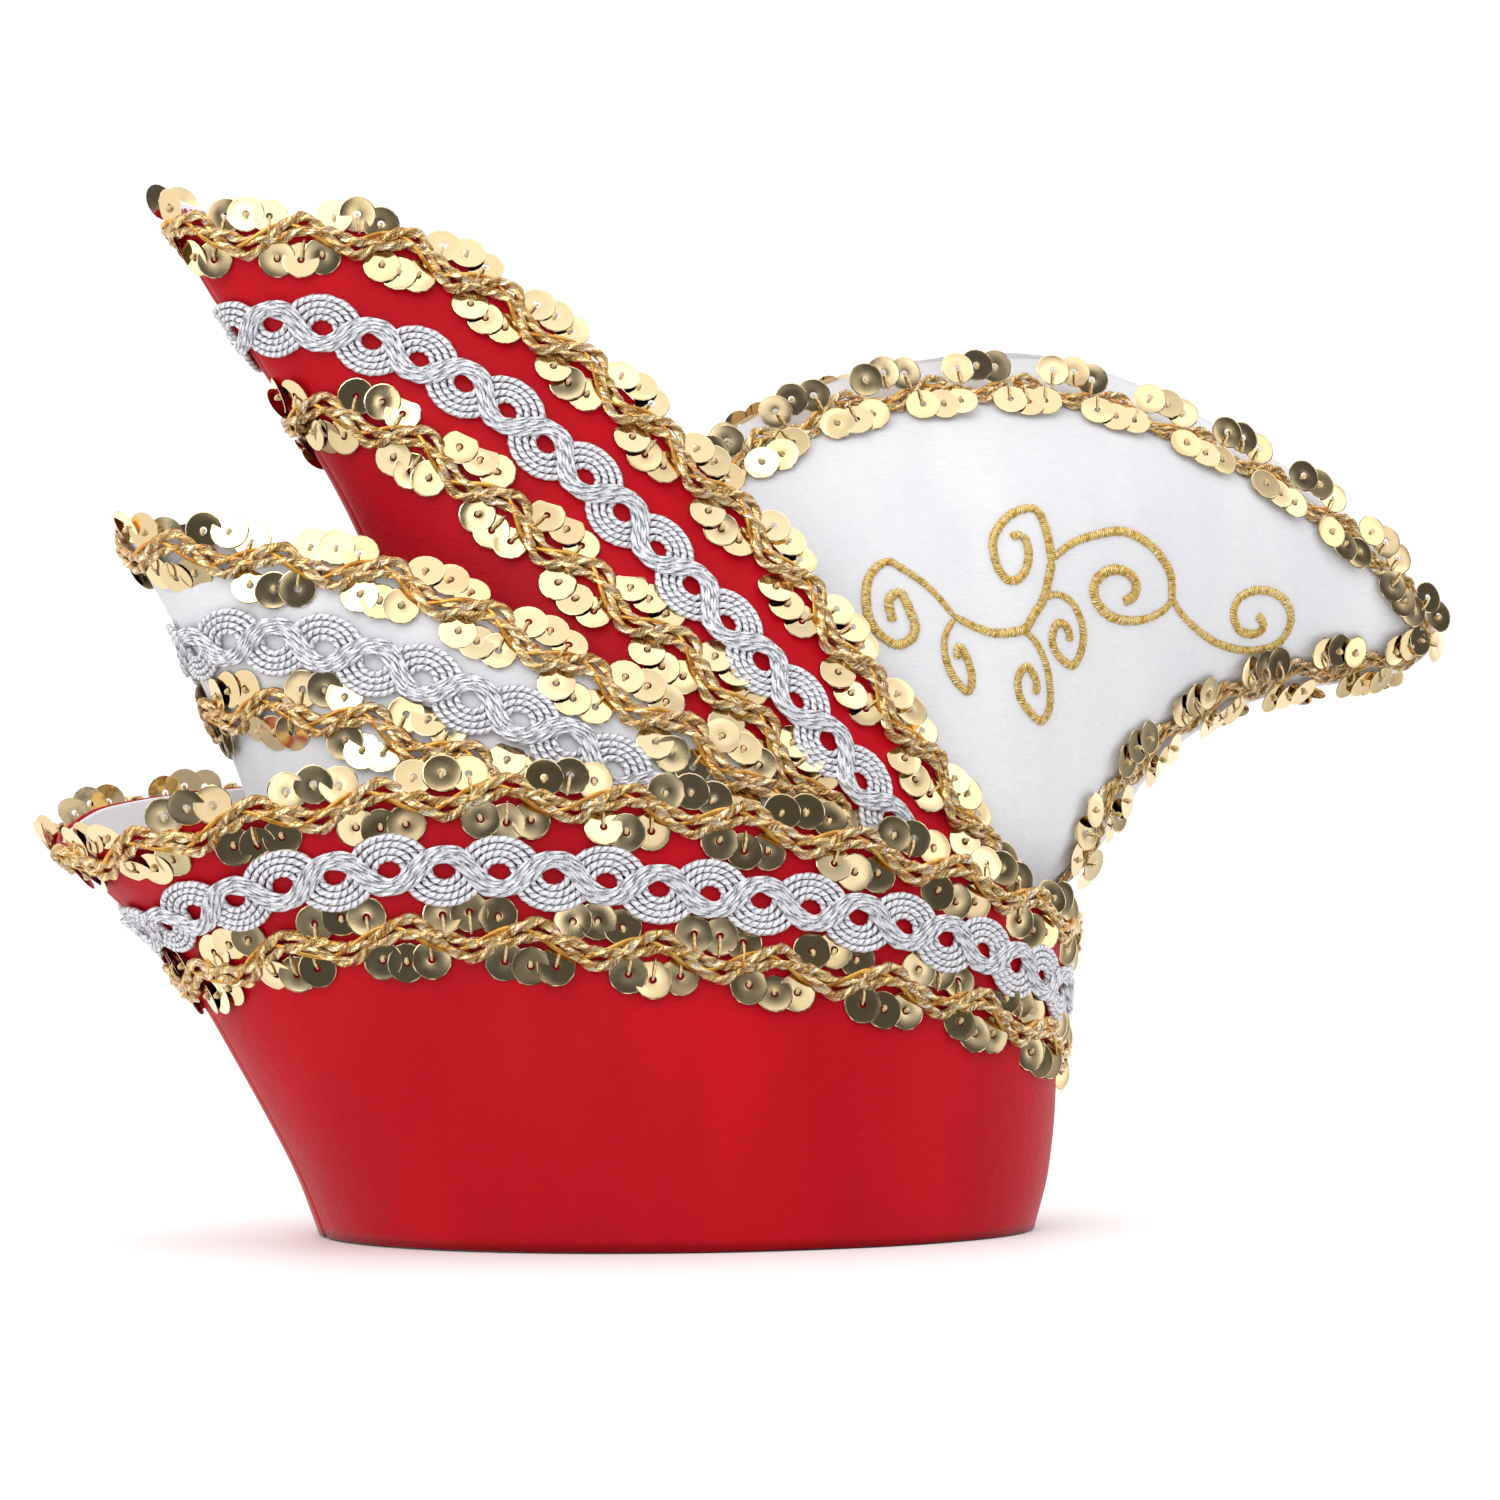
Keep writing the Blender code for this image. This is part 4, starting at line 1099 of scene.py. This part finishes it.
class CapClothSettings(bpy.types.PropertyGroup):
    """Colours of the cloth."""
    red: colour("Red satin", "Colour of the cuff and the upper peak", (0.48, 0.0025, 0.010))
    # red_shade and white_shade are painted shade: the satin darkens to them in broad clouds that stand for soft folds.
    red_shade: colour("Red satin, darker", "Darker places of the red satin", (0.40, 0.0015, 0.007))
    white: colour("White satin", "Colour of the crown and the middle peak", (0.73, 0.73, 0.745))
    white_shade: colour("White satin, darker", "Greyer places of the white satin", (0.66, 0.66, 0.69))
    lining: colour("Lining", "Colour of the lining inside the peaks", (0.86, 0.85, 0.87))
    stitches: colour("Edge stitches", "Colour of the zigzag thread on the red edges", (0.50, 0.01, 0.02))


class CapTrimSettings(bpy.types.PropertyGroup):
    """Sizes and colours of the gold sequin trim."""
    sequin: length("Sequin width", "Across one sequin", 9.6)
    hole: length("Sequin hole", "Across the hole of a sequin", 1.9)
    pitch: length("Sequin spacing", "From one sequin of a group to the next", 6.4)
    repeat: length("Group repeat", "From one upper group of three sequins to the next", 31.0)
    cord: length("Cord thickness", "Thickness of each foil cord", 2.4)
    light: colour("Gold, light", "Lighter gold of the sequins", (0.90, 0.72, 0.43))
    deep: colour("Gold, deep", "Deeper gold of the sequins", (0.75, 0.57, 0.31))


class CapBraidSettings(bpy.types.PropertyGroup):
    """Sizes and colours of the silver braid."""
    width: length("Braid width", "Across the loops of the braid", 17.4)
    repeat: length("Loop repeat", "From one upper loop to the next", 26.0)
    cord: length("Braid cord", "Thickness of each cord in a loop", 1.65)
    light: colour("Silver", "Colour of the silver gimp", (0.84, 0.84, 0.88))
    # deep is the painted shade in the notches between the gimp's windings.
    deep: colour("Silver, deep", "Colour between its strands", (0.25, 0.25, 0.28))


class CapStitchSettings(bpy.types.PropertyGroup):
    """Size and colours of the embroidery."""
    width: length("Stitch width", "Width of the full part of a stroke", 2.5)
    light: colour("Embroidery gold", "Colour of the embroidery thread", (1.0, 0.72, 0.24))
    # deep is the painted shade between the stitches.
    deep: colour("Embroidery gold, deep", "Colour between its stitches", (0.60, 0.36, 0.07))


class CapStageSettings(bpy.types.PropertyGroup):
    """Light and camera."""
    lens: bpy.props.FloatProperty(name="Lens", description="Focal length in millimetres", default=70.7, min=10.0,
                                  unit="CAMERA")
    key: bpy.props.FloatProperty(name="Key light", description="Power of the main soft light in watts", default=8.0,
                                 min=0.0, unit="POWER")
    floor: colour("Floor", "Colour of the floor", (0.93, 0.93, 0.93))


# ---------------------------------------------------------------- operators

class CapOperator:
    """What the steps share."""
    bl_options = {"REGISTER", "UNDO"}


class CAP_OT_sew_cloth(CapOperator, bpy.types.Operator):
    """Sew the satin walls, the linings and the crown"""
    bl_idname = "cap.sew_cloth"
    bl_label = "Sew the cloth"

    def execute(self, context):
        c = context.scene.cap_cloth
        red = finish("red_satin_cloth", satin_finish, tuple(c.red), tuple(c.red_shade), 0.46, 1700.0, 0.12)
        white = finish("white_satin_cloth", satin_finish, tuple(c.white), tuple(c.white_shade), 0.46, 1500.0, 0.3)
        lining = finish("smooth_lining", lining_finish, tuple(c.lining))
        cuff, peak, tall = LAYERS.values()
        sew_shell("cuff_satin", cuff, 0.0, 0.0, SATIN, 0.0, red, "red_satin")
        sew_shell("cuff_lining", cuff, 2.0, SATIN + GAP, FELT, LINING_RISE, lining, "white_felt")
        sew_shell("white_peak", peak, peak.foot, 0.0, PEAK_WALL, 0.0, white, "white_satin")
        sew_shell("red_peak_satin", tall, tall.foot, 0.0, SATIN, 0.0, red, "red_satin")
        sew_shell("red_peak_lining", tall, tall.foot, SATIN + GAP, SATIN, LINING_RISE, lining, "white_felt")
        sew_crown(white, "white_satin")
        return {"FINISHED"}


class CAP_OT_stitch_edges(CapOperator, bpy.types.Operator):
    """Run red zigzag stitches over the edges of the red satin"""
    bl_idname = "cap.stitch_edges"
    bl_label = "Stitch the edges"

    def execute(self, context):
        red = finish("red_edge_thread", thread_finish, tuple(context.scene.cap_cloth.stitches))
        edge_stitches("cuff_edge_stitches", "cuff", SATIN + GAP + FELT + THREAD_RISE, 3.0, 0.34, red, "red_satin")
        edge_stitches("red_peak_edge_stitches", "red", 2 * SATIN + GAP + THREAD_RISE, 3.6, 0.5, red, "red_satin")
        return {"FINISHED"}


class CAP_OT_lay_gold_cords(CapOperator, bpy.types.Operator):
    """Lay the two foil cords of each gold trim, and the loose end at the back"""
    bl_idname = "cap.lay_gold_cords"
    bl_label = "Lay the gold cords"

    def execute(self, context):
        foil = finish("gold_foil_cord", foil_rope_finish, (1.0, 0.80, 0.40), (0.96, 0.58, 0.18), (0.42, 0.18, 0.03))
        amber = finish("amber_foil_strand", foil_strand_finish, (0.90, 0.50, 0.10), (0.55, 0.22, 0.03))
        for node in GOLD_TRIMS:
            gold_cords(node, context.scene.cap_trim, foil, amber)
        back_tail(foil)
        return {"FINISHED"}


class CAP_OT_sew_sequins(CapOperator, bpy.types.Operator):
    """Sew the sequins in threes above and below the cords"""
    bl_idname = "cap.sew_sequins"
    bl_label = "Sew the sequins"

    def execute(self, context):
        trim = context.scene.cap_trim
        rng = np.random.default_rng(11)
        mirror = finish("gold_sequin", sequin_finish, tuple(trim.light), tuple(trim.deep))
        thread = finish("gold_sewing_thread", thread_finish, (1.0, 0.74, 0.36), 0.1)
        for part in ("cuff", "white_peak", "red_peak", "crown"):
            nodes = [node for node in GOLD_TRIMS if node.startswith(part.replace("peak", ""))]
            sew_sequins(part + "_sequins", nodes, trim, mirror, thread, rng)
        return {"FINISHED"}


class CAP_OT_lay_silver_braid(CapOperator, bpy.types.Operator):
    """Lay the looped silver braid on the three layers"""
    bl_idname = "cap.lay_silver_braid"
    bl_label = "Lay the silver braid"

    def execute(self, context):
        braid = context.scene.cap_braid
        tones = tuple(braid.light), tuple(braid.deep)
        loops = finish("silver_loop_cord", silver_gimp_finish, *tones, GIMP_TWIST, 0.2, 0.05)
        foil = finish("silver_bundle_foil", silver_gimp_finish, *tones, BUNDLE_TWIST, 0.35, 0.10)
        for node in SILVER_BRAIDS:
            lay_braid(node, braid, loops, foil)
        return {"FINISHED"}


class CAP_OT_embroider(CapOperator, bpy.types.Operator):
    """Embroider the gold scroll on both sides of the crown"""
    bl_idname = "cap.embroider"
    bl_label = "Embroider the crown"

    def execute(self, context):
        stitch = context.scene.cap_stitch
        gold = finish("gold_embroidery", embroidery_finish, tuple(stitch.light), tuple(stitch.deep))
        embroider("scroll_embroidery_near", -1, stitch, gold)
        embroider("scroll_embroidery_far", 1, stitch, gold)
        return {"FINISHED"}


class CAP_OT_set_stage(CapOperator, bpy.types.Operator):
    """Set the floor, the soft lights and the camera"""
    bl_idname = "cap.set_stage"
    bl_label = "Set the stage"

    def execute(self, context):
        stage = context.scene.cap_stage
        set_floor(tuple(stage.floor))
        set_world()
        for name, (place, size, share, mirrored) in LAMPS.items():
            soft_light(name, place, size, stage.key * share, mirrored)
        camera = bpy.data.objects.new("photo_camera", bpy.data.cameras.new("photo_camera"))
        camera.data.lens = stage.lens
        camera.data.sensor_width = SENSOR_WIDTH
        camera.location = CAMERA_PLACE
        look_at(camera, CAMERA_AIM)
        context.scene.camera = camera
        context.scene.view_settings.view_transform = "Standard"
        return {"FINISHED"}


def look_at(thing, point):
    """Put a lamp or the camera into the scene, turned towards a point."""
    thing.rotation_euler = (Vector(point) - thing.location).to_track_quat("-Z", "Y").to_euler()
    bpy.context.collection.objects.link(thing)


def soft_light(name, place, size, power, mirrored):
    """A square lamp that faces the cap."""
    data = bpy.data.lights.new(name, "AREA")
    data.shape = "SQUARE"
    data.size = size
    data.energy = power
    lamp = bpy.data.objects.new(name, data)
    lamp.location = place
    lamp.visible_glossy = mirrored
    look_at(lamp, LAMP_AIM)


def set_floor(tint, count=96):
    """A pale round floor, a hair below the rim."""
    theta = np.arange(count) / count * 2 * math.pi
    rings = [np.stack([r * np.cos(theta), r * np.sin(theta), 0 * theta], -1) for r in FLOOR_RINGS]
    points = np.vstack([np.zeros((1, 3)), *rings]) - np.array([0, 0, FLOOR_DROP])
    quads = np.vstack([fan(0, 1, count), ring_quads(len(rings), count, 1)[:, ::-1]])
    floor = new_object("studio_floor", points, quads, finish("studio_paper", floor_finish, tint))
    floor.visible_glossy = False


def set_world():
    """A pale studio: bright above, behind and to the left, and dim between soft panels on the camera's side."""
    world = bpy.data.worlds.new("studio_world")
    world.use_nodes = True
    w = NodeBench(world.node_tree)
    way = w.node("ShaderNodeTexCoord").outputs["Generated"]
    x, y, z = w.parts(way)

    def step(source, low, high, last):
        return w.node("ShaderNodeMapRange", {0: source, 1: low, 2: high, 4: last},
                      interpolation_type="SMOOTHSTEP").outputs[0]

    # Tones of the panels by the value of a broad noise that rises a little with height.
    tones = ((0.455, 0.075), (0.470, 0.19), (0.515, 0.19), (0.530, 0.43), (0.570, 0.43), (0.585, 1.0), (0.660, 1.0),
             (0.680, 1.5))
    panels = w.math("MULTIPLY_ADD", z, 0.12, w.noise(5.2, 0.0, 0.5, way))
    bright = w.ramp(panels, *((where, (tone, tone, tone)) for where, tone in tones))
    for glow in (step(x, -0.78, -0.95, 1.0), step(y, -0.25, 0.35, 1.05), step(z, 0.50, 0.85, 1.15)):
        bright = w.math("MAXIMUM", bright, glow)
    seen = w.node("ShaderNodeLightPath").outputs["Is Camera Ray"]
    back = w.nodes["Background"].inputs
    w.links.new(w.node("ShaderNodeMix", {0: seen, 2: bright, 3: 0.95}).outputs[0], back["Color"])
    back["Strength"].default_value = 1.15
    bpy.context.scene.world = world


class CAP_PT_panel(bpy.types.Panel):
    """Settings and steps of the cap"""
    bl_idname = "CAP_PT_panel"
    bl_label = "Carnival committee cap"
    bl_space_type = "VIEW_3D"
    bl_region_type = "UI"
    bl_category = "Cap"

    def draw(self, context):
        for key in SETTINGS:
            box = self.layout.box()
            group = getattr(context.scene, key)
            box.label(text=group.__doc__)
            for name in group.__annotations__:
                box.prop(group, name)
        for step in STEPS:
            self.layout.operator(step.bl_idname)


SETTINGS = {
    "cap_cloth": CapClothSettings,
    "cap_trim": CapTrimSettings,
    "cap_braid": CapBraidSettings,
    "cap_stitch": CapStitchSettings,
    "cap_stage": CapStageSettings,
}
STEPS = (
    CAP_OT_sew_cloth,
    CAP_OT_stitch_edges,
    CAP_OT_lay_gold_cords,
    CAP_OT_sew_sequins,
    CAP_OT_lay_silver_braid,
    CAP_OT_embroider,
    CAP_OT_set_stage,
)


def register():
    for kind in (*SETTINGS.values(), *STEPS, CAP_PT_panel):
        bpy.utils.register_class(kind)
    for key, kind in SETTINGS.items():
        setattr(bpy.types.Scene, key, bpy.props.PointerProperty(type=kind))


def unregister():
    for key in SETTINGS:
        delattr(bpy.types.Scene, key)
    for kind in reversed((*SETTINGS.values(), *STEPS, CAP_PT_panel)):
        bpy.utils.unregister_class(kind)


def main():
    register()
    bpy.ops.cap.sew_cloth()
    bpy.ops.cap.stitch_edges()
    bpy.ops.cap.lay_gold_cords()
    bpy.ops.cap.sew_sequins()
    bpy.ops.cap.lay_silver_braid()
    bpy.ops.cap.embroider()
    bpy.ops.cap.set_stage()


if __name__ == "__main__":
    main()
